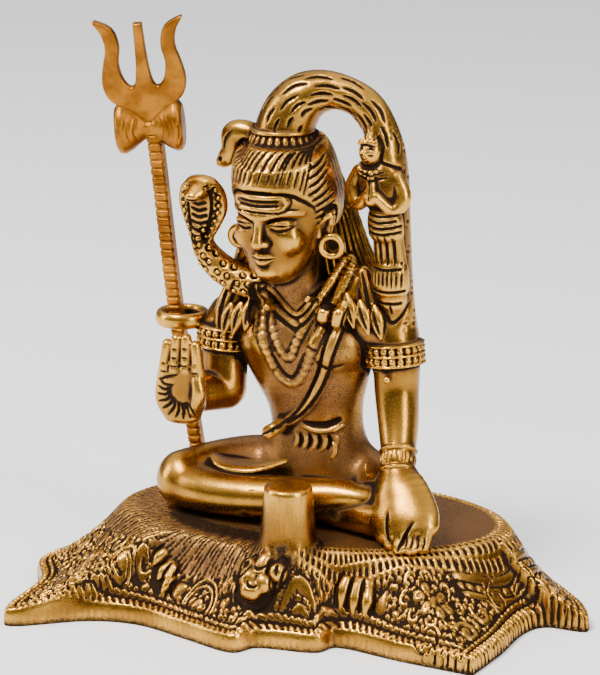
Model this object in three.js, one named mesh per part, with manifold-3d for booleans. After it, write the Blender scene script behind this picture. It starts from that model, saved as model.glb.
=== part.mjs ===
// A small cast metal Shiva, seated cross-legged on a tiger skin that covers a low mound. A cobra rises from
// his right shoulder, his hair arches over to his left one and carries the river goddess, and a loose trident
// stands in the ring beside his right arm. Millimetres, +Z up, facing -Y, with +X on the god's left.
import * as THREE from "three";
import { mergeVertices } from "three/addons/utils/BufferGeometryUtils.js";
import Module from "manifold-3d";

const wasm = await Module();
wasm.setup();

// Base
const BASE_LENGTH = 178;
const BASE_DEPTH = 100;
const SEAT_HEIGHT = 26;
const RIM_HEIGHT = 4.6;
const SEAT_LENGTH = 119;
const SEAT_DEPTH = 68;
const FRINGE_DEPTH = 1.1;
const ROPE_DEPTH = 0.7;
const RELIEF_HEIGHT = 1.6;
const SCROLL_RADIUS = 4.6;

// The plain stone post before the god's ankles
const POST_HEIGHT = 19;
const POST_TOP_RADIUS = 7.3;
const POST_FOOT_RADIUS = 8.7;

// Figure
const FIGURE_HEIGHT = 137.4;
const FIGURE_TURN = 6;
const SEAT_GAP = 0.3;

// Trident, and the ring that holds it
const ROD_WIDTH = 4.4;
const ROD_RUNGS = 34;
const ROD_CLEARANCE = 0.4;
const ROD_OFFSET = 2;
const RING_BAND = 3;
const RING_HEIGHT = 5;
const FORK_HEIGHT = 34.5;
const FORK_SPREAD = 27.4;
const FORK_THICKNESS = 3.2;
const DRUM_LENGTH = 21;
const DRUM_RADIUS = 8;
const HEAD_TURN = 12;
const HEAD_ROLL = 3.5;

// How far the faceted surface may stray where its edges are thinned out
const SLACK = 0.28;

const GOLD = { color: 0xb9803a, roughness: 0.35, metalness: 1 };
const BARE_GOLD = { color: 0xb27a35, roughness: 0.45, metalness: 1 };

const { sin, cos, PI, hypot, sqrt, max } = Math;
const X = [1, 0, 0];
const Y = [0, 1, 0];
const Z = [0, 0, 1];
const vec = (p) => new THREE.Vector3(...p);
const mix = THREE.MathUtils.lerp;
const radians = THREE.MathUtils.degToRad;
const numbers = (count) => Array.from({ length: count }, (_, i) => i);

function geometryOf(points, triangles) {
  return new THREE.BufferGeometry()
    .setAttribute("position", new THREE.Float32BufferAttribute(points.flat(), 3))
    .setIndex(triangles.flat());
}

// The faces of a closed tube: a first tip, `rings` rings of `sides` points each, and a last tip.
function tubeFaces(rings, sides) {
  const faces = [];
  const at = (ring, k) => 1 + ring * sides + (k % sides);
  for (let k = 0; k < sides; k++) {
    faces.push([0, at(0, k + 1), at(0, k)]);
    for (let ring = 0; ring < rings - 1; ring++) {
      faces.push([at(ring, k), at(ring, k + 1), at(ring + 1, k + 1)]);
      faces.push([at(ring, k), at(ring + 1, k + 1), at(ring + 1, k)]);
    }
    faces.push([at(rings - 1, k), at(rings - 1, k + 1), 1 + rings * sides]);
  }
  return faces;
}

// A closed limb through stations [x, y, z, a, b], each an ellipse with its half-axis a towards `side` and b
// across that, square to the limb or, in a level one, flat. `ends` says how far its ends bulge, as shares of
// b, and `relief` scales each corner.
function limb(stations, options = {}) {
  const { side = X, sides = 8, steps = 1, ends = [0.6, 0.6] } = options;
  const { turn = 0, level = false, relief = () => 1 } = options;
  const curve = (points) => new THREE.CatmullRomCurve3(points, false, "centripetal");
  const line = curve(stations.map(([x, y, z]) => vec([x, y, z])));
  const sizeAt = (t) => {
    const spot = t * (stations.length - 1);
    const [from, to] = [stations[Math.floor(spot)], stations[Math.ceil(spot)]];
    const share = spot % 1;
    return [mix(from[3], to[3], share), mix(from[4] ?? from[3], to[4] ?? to[3], share)];
  };
  const count = (stations.length - 1) * steps;
  const slices = numbers(count + 1).map((i) => ({ t: i / count, shrink: 1, shift: 0 }));
  if (ends[0] > 0) slices.unshift({ t: 0, shrink: 0.66, shift: -0.7 * ends[0] });
  if (ends[1] > 0) slices.push({ t: 1, shrink: 0.66, shift: 0.7 * ends[1] });
  const centreAt = (t, shift) => line.getPoint(t).addScaledVector(line.getTangent(t), shift * sizeAt(t)[1]);
  const points = [centreAt(0, -ends[0]).toArray()];
  slices.forEach(({ t, shrink, shift }, ring) => {
    const tangent = level ? vec([0, 0, Math.sign(line.getTangent(t).z)]) : line.getTangent(t);
    const across = vec(side).addScaledVector(tangent, -vec(side).dot(tangent)).normalize();
    const up = new THREE.Vector3().crossVectors(tangent, across);
    const [a, b] = sizeAt(t);
    for (let k = 0; k < sides; k++) {
      const angle = (2 * PI * k) / sides + turn;
      const scale = shrink * relief(k, ring);
      points.push(centreAt(t, shift)
        .addScaledVector(across, scale * a * cos(angle))
        .addScaledVector(up, scale * b * sin(angle)).toArray());
    }
  });
  points.push(centreAt(1, ends[1]).toArray());
  return geometryOf(points, tubeFaces(slices.length, sides));
}

const fluted = (depth) => (k) => (k % 2 ? 1 - depth : 1);
const beaded = (depth) => (k, ring) => (ring % 2 ? 1 : 1 - depth);

// A ring round +Z whose tube swells and narrows like a string of beads.
function beadRing(radius, tube, count, { sides = 5, narrow = 0.72 } = {}) {
  const stations = numbers(2 * count);
  const points = stations.flatMap((i) => {
    const round = (PI * i) / count;
    const size = i % 2 ? narrow * tube : tube;
    return numbers(sides).map((k) => {
      const angle = (2 * PI * k) / sides;
      const reach = radius + size * cos(angle);
      return [reach * cos(round), reach * sin(round), size * sin(angle)];
    });
  });
  const at = (i, k) => (i % (2 * count)) * sides + (k % sides);
  const faces = stations.flatMap((i) => numbers(sides).flatMap((k) => [
    [at(i, k), at(i + 1, k), at(i + 1, k + 1)],
    [at(i, k), at(i + 1, k + 1), at(i, k + 1)],
  ]));
  return geometryOf(points, faces);
}

const ball = (radius, sides = 8) =>
  new THREE.SphereGeometry(radius, sides, max(4, sides - 2)).rotateX(PI / 2);

// A geometry stretched, then turned so that its +Z points along `up`, and moved to `spot`.
function placed(geometry, spot, { up = Z, stretch = [1, 1, 1] } = {}) {
  const turn = new THREE.Quaternion().setFromUnitVectors(vec(Z), vec(up).normalize());
  return geometry.clone().scale(...stretch).applyQuaternion(turn).translate(...spot);
}

function solid(geometry) {
  const bare = geometry.clone();
  bare.deleteAttribute("normal");
  bare.deleteAttribute("uv");
  const merged = mergeVertices(bare, 1e-4);
  const corners = Array.from(merged.index.array);
  const kept = numbers(corners.length / 3)
    .map((i) => corners.slice(3 * i, 3 * i + 3))
    .filter(([a, b, c]) => a !== b && b !== c && a !== c);
  return new wasm.Manifold(new wasm.Mesh({
    numProp: 3,
    vertProperties: new Float32Array(merged.getAttribute("position").array),
    triVerts: new Uint32Array(kept.flat()),
  }));
}

const joined = (geometries) => geometries.map(solid).reduce((whole, piece) => whole.add(piece));

// The planes of the faces round a corner, summed as the ten terms of their squared distance to a point.
function planeTerms([a, b, c]) {
  const n = b.clone().sub(a).cross(c.clone().sub(a)).normalize();
  const d = -n.dot(a);
  return [n.x * n.x, n.x * n.y, n.x * n.z, n.x * d, n.y * n.y, n.y * n.z, n.y * d, n.z * n.z, n.z * d, d * d];
}

const squaredDistance = (t, { x, y, z }) =>
  t[0] * x * x + t[4] * y * y + t[7] * z * z + t[9]
  + 2 * (t[1] * x * y + t[2] * x * z + t[5] * y * z + t[3] * x + t[6] * y + t[8] * z);

// A closed surface without the edges that don't shape it: a corner moves onto its neighbour wherever that
// keeps the surface closed, turns no face over and stays within `slack` of every plane that met there.
function pruned(corners, faces, slack) {
  const facesAt = corners.map(() => new Set());
  faces.forEach((face, i) => face.forEach((corner) => facesAt[corner].add(i)));
  const trio = (face) => face.map((corner) => corners[corner]);
  const added = (sum, t) => sum.map((v, k) => v + t[k]);
  const terms = facesAt.map((around) =>
    [...around].map((f) => planeTerms(trio(faces[f]))).reduce(added, Array(10).fill(0)));
  const neighbours = (i) =>
    new Set([...facesAt[i]].flatMap((f) => faces[f]).filter((corner) => corner !== i));
  const normalOf = ([a, b, c]) => b.clone().sub(a).cross(c.clone().sub(a));
  const slimmest = (points) => normalOf(points).length()
    / max(...points.map((p, k) => p.distanceToSquared(points[(k + 1) % 3])));

  function allowed(from, to) {
    const around = neighbours(to);
    if ([...neighbours(from)].filter((corner) => around.has(corner)).length !== 2) return false;
    return [...facesAt[from]].filter((f) => !faces[f].includes(to)).every((f) => {
      const before = trio(faces[f]);
      const after = faces[f].map((corner) => corners[corner === from ? to : corner]);
      const [old, fresh] = [normalOf(before), normalOf(after)];
      const steady = fresh.dot(old) > 0.3 * fresh.length() * old.length();
      return (steady || old.length() < 1e-4) && slimmest(after) > Math.min(0.06, slimmest(before));
    });
  }

  let changed = true;
  while (changed) {
    changed = false;
    const costOf = (from, to) =>
      squaredDistance(terms[from], corners[to]) + 1e-5 * corners[from].distanceToSquared(corners[to]);
    const moves = corners
      .flatMap((_, from) => [...neighbours(from)].map((to) => ({ from, to, cost: costOf(from, to) })))
      .filter(({ cost }) => cost < slack * slack)
      .sort((a, b) => a.cost - b.cost);
    const touched = new Set();
    for (const { from, to } of moves) {
      if (touched.has(from) || touched.has(to) || !allowed(from, to)) continue;
      neighbours(from).forEach((corner) => touched.add(corner));
      terms[to] = added(terms[to], terms[from]);
      for (const f of facesAt[from]) {
        if (faces[f].includes(to)) {
          faces[f].forEach((corner) => corner !== from && facesAt[corner].delete(f));
          faces[f] = null;
        } else {
          faces[f] = faces[f].map((corner) => (corner === from ? to : corner));
          facesAt[to].add(f);
        }
      }
      facesAt[from].clear();
      changed = true;
    }
  }
  return faces.filter((face) => face);
}

// A closed surface without the small pockets that stay shut in where relief is laid on a body: a shell whose
// faces enclose less than nothing is the wall of such a pocket.
function withoutPockets(corners, faces) {
  const shellOf = corners.map((_, i) => i);
  const rootOf = (i) => {
    while (shellOf[i] !== i) i = shellOf[i];
    return i;
  };
  faces.forEach(([a, b, c]) => {
    shellOf[rootOf(b)] = rootOf(a);
    shellOf[rootOf(c)] = rootOf(a);
  });
  const volumes = new Map();
  faces.forEach((face) => {
    const [a, b, c] = face.map((corner) => corners[corner]);
    const shell = rootOf(face[0]);
    volumes.set(shell, (volumes.get(shell) ?? 0) + a.dot(b.clone().cross(c)) / 6);
  });
  return faces.filter(([a]) => volumes.get(rootOf(a)) > 0);
}

function meshOf(made, name, finish) {
  const { numProp, numVert, numTri, vertProperties, triVerts } = made.getMesh();
  const corners = numbers(numVert).map((i) => vec(vertProperties.slice(i * numProp, i * numProp + 3)));
  const faces = numbers(numTri).map((i) => Array.from(triVerts.slice(3 * i, 3 * i + 3)));
  const kept = pruned(corners, withoutPockets(corners, faces), SLACK);
  const used = [...new Set(kept.flat())];
  const order = new Map(used.map((corner, i) => [corner, i]));
  const geometry = geometryOf(used.map((corner) => corners[corner].toArray()),
    kept.map((face) => face.map((corner) => order.get(corner))));
  geometry.computeVertexNormals();
  const mesh = new THREE.Mesh(geometry, new THREE.MeshStandardMaterial(finish));
  mesh.name = name;
  return mesh;
}

// The figure is laid out in millimetres in a frame of its own, whose origin lies on the seat under the god's
// belly, for the height it has here. It grows with FIGURE_HEIGHT.
const DRAWN_HEIGHT = 137.4;
const FIGURE_SPOT = [-3, 7];
const growth = FIGURE_HEIGHT / DRAWN_HEIGHT;
const turned = new THREE.Matrix4().makeRotationZ(radians(-FIGURE_TURN))
  .setPosition(FIGURE_SPOT[0], FIGURE_SPOT[1], SEAT_HEIGHT + SEAT_GAP);
const seated = (geometry) => geometry.clone().scale(growth, growth, growth).applyMatrix4(turned);
const seatedSpot = (p) => vec(p).multiplyScalar(growth).applyMatrix4(turned).toArray();

// The base's outline from its right-hand front corner round, as shares of its half length and half depth.
const LOBES = [
  [0.72, -0.93], [0.77, -0.56], [0.8, -0.22], [0.86, -0.06], [1, -0.06], [0.98, 0.12], [0.92, 0.28],
  [0.84, 0.46], [0.75, 0.68], [0.6, 0.84], [0.45, 0.82], [0.3, 0.9], [0, 1], [-0.3, 0.9], [-0.45, 0.82],
  [-0.6, 0.84], [-0.75, 0.68], [-0.85, 0.44], [-0.95, 0.2], [-1, -0.08], [-0.92, -0.42], [-0.93, -0.88],
  [-0.88, -0.98], [-0.66, -0.77], [-0.48, -0.74], [-0.3, -0.86], [-0.1, -1], [-0.02, -0.88], [0.17, -0.86],
  [0.24, -0.74], [0.46, -0.84],
];
const SEAT_CENTRE = [0, 8];

function outlineOf() {
  const line = new THREE.SplineCurve([...LOBES, LOBES[0]].map(([x, y]) => new THREE.Vector2(x, y)));
  const points = line.getPoints(2 * LOBES.length).slice(0, -1);
  const box = new THREE.Box2().setFromPoints(points);
  const size = box.getSize(new THREE.Vector2());
  const middle = box.getCenter(new THREE.Vector2());
  return points.map((p) => [
    ((p.x - middle.x) / size.x) * BASE_LENGTH,
    ((p.y - middle.y) / size.y) * BASE_DEPTH,
  ]);
}
const outline = outlineOf();
const SPOKES = outline.length;

const seatReach = (angle) => 0.5 / hypot(cos(angle) / SEAT_LENGTH, sin(angle) / SEAT_DEPTH);

// How far the outline lies from the seat's centre in one direction.
function rimReach(angle) {
  const [dx, dy] = [cos(angle), sin(angle)];
  const crossings = outline.map(([ax, ay], i) => {
    const [bx, by] = outline[(i + 1) % outline.length];
    const [ex, ey] = [bx - ax, by - ay];
    const [fx, fy] = [ax - SEAT_CENTRE[0], ay - SEAT_CENTRE[1]];
    const across = dx * ey - dy * ex;
    const share = (fx * dy - fy * dx) / across;
    return share >= 0 && share <= 1 ? (fx * ey - fy * ex) / across : 0;
  });
  return max(...crossings);
}

// The skin's fall from the seat's edge (0) to the rim (1), as [share of the way, share of the height left].
const FALL = [
  [0, 1], [0.1, 0.96], [0.16, 0.89], [0.22, 0.8], [0.3, 0.68], [0.38, 0.56], [0.58, 0.33], [0.8, 0.12],
  [1, 0],
];
const FRINGE_WAYS = [0.1, 0.38];

// The three bands that edge the skin beside the god's left knee: where they are, and how high.
const BAND_WAYS = [0.1, 0.22, 0.38];
const BAND_DIRECTIONS = [-42, 22];
const BAND_HEIGHT = 0.9;

function heightAt(way) {
  if (way <= 0) return SEAT_HEIGHT;
  const next = FALL.findIndex(([reached]) => reached >= way);
  if (next < 0) return RIM_HEIGHT;
  const [[fromWay, from], [toWay, to]] = [FALL[next - 1], FALL[next]];
  return mix(RIM_HEIGHT, SEAT_HEIGHT, mix(from, to, (way - fromWay) / (toWay - fromWay)));
}

// The point of the mound's top that lies in one direction from the seat, a share of the way to the rim.
function onSlope(degrees, way, lift = 0) {
  const angle = radians(degrees);
  const reach = mix(seatReach(angle), rimReach(angle), way);
  return [SEAT_CENTRE[0] + reach * cos(angle), SEAT_CENTRE[1] + reach * sin(angle), heightAt(way) + lift];
}

// The point of the mound's top above a place (x, y).
function onMound(x, y, lift = 0) {
  const [fx, fy] = [x - SEAT_CENTRE[0], y - SEAT_CENTRE[1]];
  const angle = Math.atan2(fy, fx);
  const [inner, outer] = [seatReach(angle), rimReach(angle)];
  return [x, y, heightAt((hypot(fx, fy) - inner) / (outer - inner)) + lift];
}

function mound() {
  const spokes = outline.map(([x, y]) => Math.atan2(y - SEAT_CENTRE[1], x - SEAT_CENTRE[0]));
  const points = [[...SEAT_CENTRE, 0]];
  const addRing = (way, heightOf) => spokes.forEach((angle, k) => {
    const inner = seatReach(angle);
    const outer = hypot(outline[k][0] - SEAT_CENTRE[0], outline[k][1] - SEAT_CENTRE[1]);
    const reach = mix(inner, outer, way);
    points.push([SEAT_CENTRE[0] + reach * cos(angle), SEAT_CENTRE[1] + reach * sin(angle), heightOf(k)]);
  });
  const dip = (k, depth) => (k % 2 ? depth : 0);
  const banded = (k) => {
    const degrees = THREE.MathUtils.radToDeg(spokes[k]);
    return degrees > BAND_DIRECTIONS[0] && degrees < BAND_DIRECTIONS[1];
  };
  addRing(1, () => 0);
  addRing(1, (k) => RIM_HEIGHT - ROPE_DEPTH - dip(k, ROPE_DEPTH));
  addRing(0.95, (k) => RIM_HEIGHT + ROPE_DEPTH - dip(k, ROPE_DEPTH));
  FALL.slice(0, -1).reverse().forEach(([way]) => {
    const furred = way >= FRINGE_WAYS[0] && way <= FRINGE_WAYS[1];
    const ridge = BAND_WAYS.includes(way) ? BAND_HEIGHT : 0;
    addRing(way, (k) => heightAt(way) + (furred ? (banded(k) ? ridge : -dip(k, FRINGE_DEPTH)) : 0));
  });
  points.push([...SEAT_CENTRE, SEAT_HEIGHT]);
  return geometryOf(points, tubeFaces((points.length - 2) / SPOKES, SPOKES));
}

// A leafy scroll that curls in on itself on the mound.
function scroll(degrees, way, hand) {
  const [x, y] = onSlope(degrees, way);
  const stations = numbers(7).map((i) => {
    const share = i / 6;
    const angle = radians(degrees) + hand * PI * (0.9 + 2 * share);
    const reach = SCROLL_RADIUS * (1.25 - 0.9 * share);
    const size = RELIEF_HEIGHT * (0.5 + 0.5 * sin(PI * share));
    return [...onMound(x + reach * cos(angle), y + reach * sin(angle)), size];
  });
  return limb(stations, { side: Z, sides: 4, ends: [0, 0] });
}

// A paw: a pad with three claws that point down the slope.
function paw(x, y, heading) {
  const [dx, dy] = [sin(radians(heading)), -cos(radians(heading))];
  const along = (reach, aside, lift) =>
    onMound(x + reach * dx - aside * dy, y + reach * dy + aside * dx, lift);
  const claws = [-4.4, 0, 4.4].map((aside) => limb([
    [...along(-1, 0.8 * aside, 0.2), 1.6], [...along(4, aside, 0.6), 1.9], [...along(9, 0.9 * aside, 0), 0.5],
  ], { side: Z, sides: 4, ends: [0, 0] }));
  const pad = limb([[...along(-5, 0, -1.4), 3.6, 3], [...along(1, 0, -1.4), 6, 3.8]],
    { side: [-dy, dx, 0], ends: [0.5, 0.3] });
  return [pad, ...claws];
}

// The tiger's flattened head, with its muzzle towards the rim.
function tigerHead() {
  const along = (reach, aside, lift) => onMound(-7 + aside - 0.08 * reach, -24 - reach, lift);
  const pair = (reach, aside, lift, size) =>
    [-1, 1].map((hand) => placed(ball(size, 6), along(reach, hand * aside, lift)));
  const skull = [
    [...along(-1, 0, 0), 6, 2.6], [...along(5, 0, 0), 8.2, 3.6], [...along(11, 0, 0), 7, 3.9],
    [...along(17, 0, 0), 4.6, 3.6],
  ];
  const muzzle = [[...along(3, 0, 3), 1.1], [...along(11, 0, 4.2), 1.5], [...along(15.5, 0, 4), 2.4, 1.8]];
  return [
    limb(skull, { sides: 10 }), limb(muzzle, { sides: 6 }),
    ...pair(8, 3.6, 2.5, 1.9), ...pair(1.5, 7, 1, 2.7), ...pair(13.5, 3, 1.4, 3.3),
  ];
}

function rosette(degrees, way) {
  const [x, y, z] = onSlope(degrees, way);
  const petals = numbers(7).map((k) => placed(ball(2, 5),
    onMound(x + 4 * cos((2 * PI * k) / 7), y + 4 * sin((2 * PI * k) / 7), -0.3)));
  return [placed(ball(2.4, 6), [x, y, z]), ...petals];
}

// The post's foot is sunk in the skin, before the crossed shins.
const POST_SPOT = [7.2, -30.4];

function post() {
  const [x, y, seat] = seatedSpot([...POST_SPOT, 0]);
  const profile = [
    [0, -6], [POST_FOOT_RADIUS + 1.2, -6], [POST_FOOT_RADIUS + 1.2, -0.6], [POST_FOOT_RADIUS, 1.2],
    [mix(POST_FOOT_RADIUS, POST_TOP_RADIUS, 0.95), POST_HEIGHT - 0.8], [POST_TOP_RADIUS - 0.6, POST_HEIGHT],
    [0, POST_HEIGHT],
  ];
  return new THREE.LatheGeometry(profile.map(([r, h]) => new THREE.Vector2(r, h)), 18)
    .rotateX(PI / 2).translate(x, y, seat - SEAT_GAP);
}

function base() {
  const scrolls = [
    [-166, 0.6, -1], [-147, 0.68, 1], [-131, 0.6, -1], [-116, 0.74, 1], [-76, 0.72, -1], [-62, 0.84, 1],
    [-46, 0.84, -1], [-20, 0.74, -1], [-2, 0.72, 1], [28, 0.6, 1], [62, 0.6, -1], [118, 0.6, 1],
    [152, 0.6, -1],
  ];
  return joined([
    mound(), post(), ...tigerHead(), ...paw(25, -26, 8), ...paw(-35, -28, -18), ...rosette(-34, 0.56),
    ...scrolls.map((place) => scroll(...place)),
  ]);
}

// The torso's sections: height, centre across and to the back, half width and half depth.
const TORSO = [
  [0, 1, 8, 24, 15], [8, 1, 8, 22, 14], [16, 1.2, 7.5, 18.5, 12], [22, 1.3, 7, 16, 10.5],
  [28, 1.2, 6.5, 15, 10], [36, 0.5, 6, 16, 10.5], [44, -0.5, 5, 19, 11.5], [52, -1.5, 4.5, 22, 12],
  [58, -2.5, 5, 22.5, 11.5], [64, -3.5, 5, 17.5, 10], [69, -4.5, 4, 10.5, 8.8], [75, -5, 2.5, 8.2, 8],
  [84, -5, 2, 8, 8],
];

// A point on the chest's front at (x, z), raised by `lift`.
function onChest(x, z, lift = 0) {
  const next = TORSO.findIndex(([height]) => height >= z);
  const [from, to] = [TORSO[next - 1], TORSO[next]];
  const share = (z - from[0]) / (to[0] - from[0]);
  const [, cx, cy, a, b] = from.map((size, i) => mix(size, to[i], share));
  const across = THREE.MathUtils.clamp((x - cx) / a, -0.97, 0.97);
  return [x, cy - b * sqrt(1 - across * across) - lift, z];
}

// A garland over the chest through places (x, z).
const garland = (places, size, options) => limb(
  places.map(([x, z]) => [...onChest(x, z, 0.35 * size), size]),
  { sides: 4, steps: 2, ends: [0, 0], ...options });

function body() {
  const tassels = numbers(5).map((i) => {
    const x = mix(-1, 14, i / 4);
    const fall = [[...onChest(x, 27.5), 1.1], [...onChest(x + 0.4, 22, 0.8), 1.8]];
    return limb(fall, { sides: 4, ends: [0, 0.3] });
  });
  const breast = (x) => placed(ball(8.5, 8), [x, -1, 55], { stretch: [1, 0.75, 0.75] });
  return [
    limb(TORSO.map(([z, x, y, a, b]) => [x, y, z, a, b]), { sides: 16, ends: [0, 0], level: true }),
    breast(-11.5), breast(10),
    garland([[-12.5, 67], [-12.2, 60], [-9, 51], [-3.5, 45], [1.5, 44.5], [5.5, 52], [9, 60], [9.5, 67]], 2,
      { relief: beaded(0.25) }),
    garland([[-9, 68], [-8.5, 61], [-5, 54.5], [-1.5, 51.5], [1.2, 56], [4.5, 63], [6, 68]], 1.6,
      { relief: beaded(0.25) }),
    garland([[-8, 70], [-2, 64], [0, 62.5], [2, 65], [4, 70]], 1.3, { steps: 1 }),
    garland([[15, 64], [12.2, 59], [9, 48.5], [5, 38.5], [-1, 31], [-9, 28]], 1.8, { side: Y, steps: 1 }),
    garland([[0.5, 29.8], [8, 28.8], [14, 31.5]], 1.6, { steps: 1 }),
    ...tassels,
  ];
}

function legs() {
  return [
    limb([[-10, 8, 9.5, 11, 10], [-20, 5, 9.7, 11, 10], [-29.6, -2, 9.2, 10.5, 9.6],
      [-37.4, -9.5, 8.6, 9.4, 8.6]], { side: Z, sides: 12, steps: 2 }),
    limb([[-36.6, -10.5, 8.2, 7.6, 8], [-26, -13.5, 7.6, 7.2, 8], [-12, -14, 8, 6.8, 7.6],
      [2, -13.5, 9.2, 6, 6.6], [14, -12.5, 10.8, 5.2, 5.6], [23, -12, 11.6, 3.8, 5],
      [29, -11, 11.2, 2.6, 4]], { side: Z, sides: 10 }),
    limb([[12, 8, 9.5, 11, 10], [22, 5, 9.4, 10.5, 9.6], [31, -4, 8.6, 9.6, 9], [38, -14, 7.4, 8, 7.2]],
      { side: Z, sides: 12, steps: 2 }),
    limb([[38.5, -16, 6.2, 6.2, 6.6], [28, -13, 6, 6, 6.6], [16, -9.5, 6, 6, 6.4], [4, -6, 6, 5.6, 6]],
      { side: Z, sides: 10 }),
    limb([[-29, -7, 17.2, 1.2, 0.7], [-22, -9.5, 15.6, 5, 1.4], [-12, -9.5, 15.8, 5.5, 1.5],
      [-3.5, -7.5, 18, 1.5, 0.8]], { side: Y, sides: 6 }),
  ];
}

// Fingers side by side, each from its own knuckle to its own tip.
const fingers = (knuckles, tips, [a, b]) => knuckles.map((knuckle, i) =>
  limb([[...knuckle, a, b], [...tips[i], 0.85 * a, 0.85 * b]], { sides: 6, ends: [0, 0.6] }));

// Bands on a limb: the corners of the rings named are drawn in by turns, so that each band looks beaded.
const bandsAt = (rings, depth) => (k, ring) => (rings.includes(ring) && k % 2 ? 1 - depth : 1);

function leftArm() {
  return [
    limb([
      [20, 6, 61, 9, 8.5], [25, 6, 58.6, 8.6, 8.6], [26.7, 5.5, 55.8, 7.6], [26.9, 5.3, 55.2, 9.2],
      [27.1, 5.1, 52.4, 9], [27.4, 5, 51.6, 7.4], [27.5, 5, 50.8, 8.7], [27.9, 4.8, 48, 8.4],
      [28.2, 4.7, 47.4, 7], [28.6, 4, 41, 6.8, 7],
      [30.5, 0.5, 32, 6.2, 6.4], [32.2, -3.8, 24.9, 5.3, 5.5], [32.3, -4.2, 24.4, 6], [33.4, -7.2, 19.4, 6.2],
      [33.7, -7.8, 18.6, 5.8, 5.2], [36.6, -12.2, 14.5, 8.4, 5], [39.8, -17, 8.6, 10.2, 5],
      [41.2, -19.4, 5.2, 10, 4.6],
    ], { sides: 12, relief: bandsAt([4, 5, 7, 8, 13, 14], 0.1) }),
    ...fingers([[34.4, -18.6, 7.4], [38.8, -19.8, 6.4], [43.2, -19.8, 6.4], [47.2, -18.6, 7.4]],
      [[37, -22.4, 1.6], [40.4, -24, 1], [44, -23.6, 1.2], [47, -22, 2]], [2.5, 2.8]),
  ];
}

function rightArm() {
  return [
    limb([
      [-20, 6, 61, 9, 8], [-26.6, 5.6, 58, 8.6, 8.2], [-28.2, 5, 56.2, 7.6], [-28.4, 4.9, 55.6, 9.1],
      [-28.7, 4.6, 52.6, 8.9], [-28.8, 4.5, 52, 7.4], [-28.9, 4.3, 51.2, 8.4], [-29, 4.1, 49.2, 8.2],
      [-28.9, 3.8, 48.4, 7.2], [-27.6, 0.5, 37.4, 6.8, 6.6],
    ], { sides: 12, relief: bandsAt([4, 5, 7, 8], 0.1) }),
    limb([[-27.8, 0.5, 36.4, 6.6, 6.4], [-31, -7, 36.8, 5.8, 5.8], [-33.6, -13, 37.4, 5, 5.4]]),
    limb([[-34.8, -15.2, 31, 6.4, 2.4], [-35.2, -15.6, 36, 8.6, 2.8], [-34.8, -15.8, 42, 8.4, 2.8],
      [-34.4, -16, 47, 7.6, 2.6]], { sides: 10 }),
    ...fingers([[-40.2, -16.2, 46], [-36.4, -16.5, 46.5], [-32.6, -16.5, 46.5], [-28.8, -16.2, 45.5]],
      [[-39.2, -16.2, 54], [-36, -16.4, 56], [-32.7, -16.4, 56.4], [-29.6, -16.2, 54.4]], [1.95, 2.2]),
    limb([[-30, -16.8, 34, 2], [-28, -17.6, 39, 2.3], [-28.6, -17.4, 43.5, 1.8]], { sides: 6 }),
  ];
}

// The head is laid out in shares of its height, from the chin up, and set on the neck with a slight bow.
const HEAD_HEIGHT = 38;
const HEAD_SPOT = [-5.5, 0, 79];
const SKULL = [
  [0.02, -0.28, 0.11, 0.1], [0.1, -0.22, 0.2, 0.19], [0.21, -0.13, 0.28, 0.29], [0.36, -0.05, 0.335, 0.37],
  [0.52, 0, 0.35, 0.43], [0.68, 0, 0.35, 0.44], [0.84, 0.02, 0.3, 0.38], [0.95, 0.04, 0.17, 0.24],
];

const headPart = (geometry) => geometry.clone().scale(HEAD_HEIGHT, HEAD_HEIGHT, HEAD_HEIGHT)
  .rotateX(radians(9)).rotateZ(radians(-5)).translate(...HEAD_SPOT);

// A point on the face at (x, z), raised by `lift`.
function onFace(x, z, lift = 0) {
  const next = SKULL.findIndex(([height]) => height >= z);
  const [from, to] = [SKULL[next - 1], SKULL[next]];
  const share = (z - from[0]) / (to[0] - from[0]);
  const [, cy, a, b] = from.map((size, i) => mix(size, to[i], share));
  return [x, cy - b * sqrt(1 - (x / a) ** 2) - lift, z];
}

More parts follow.
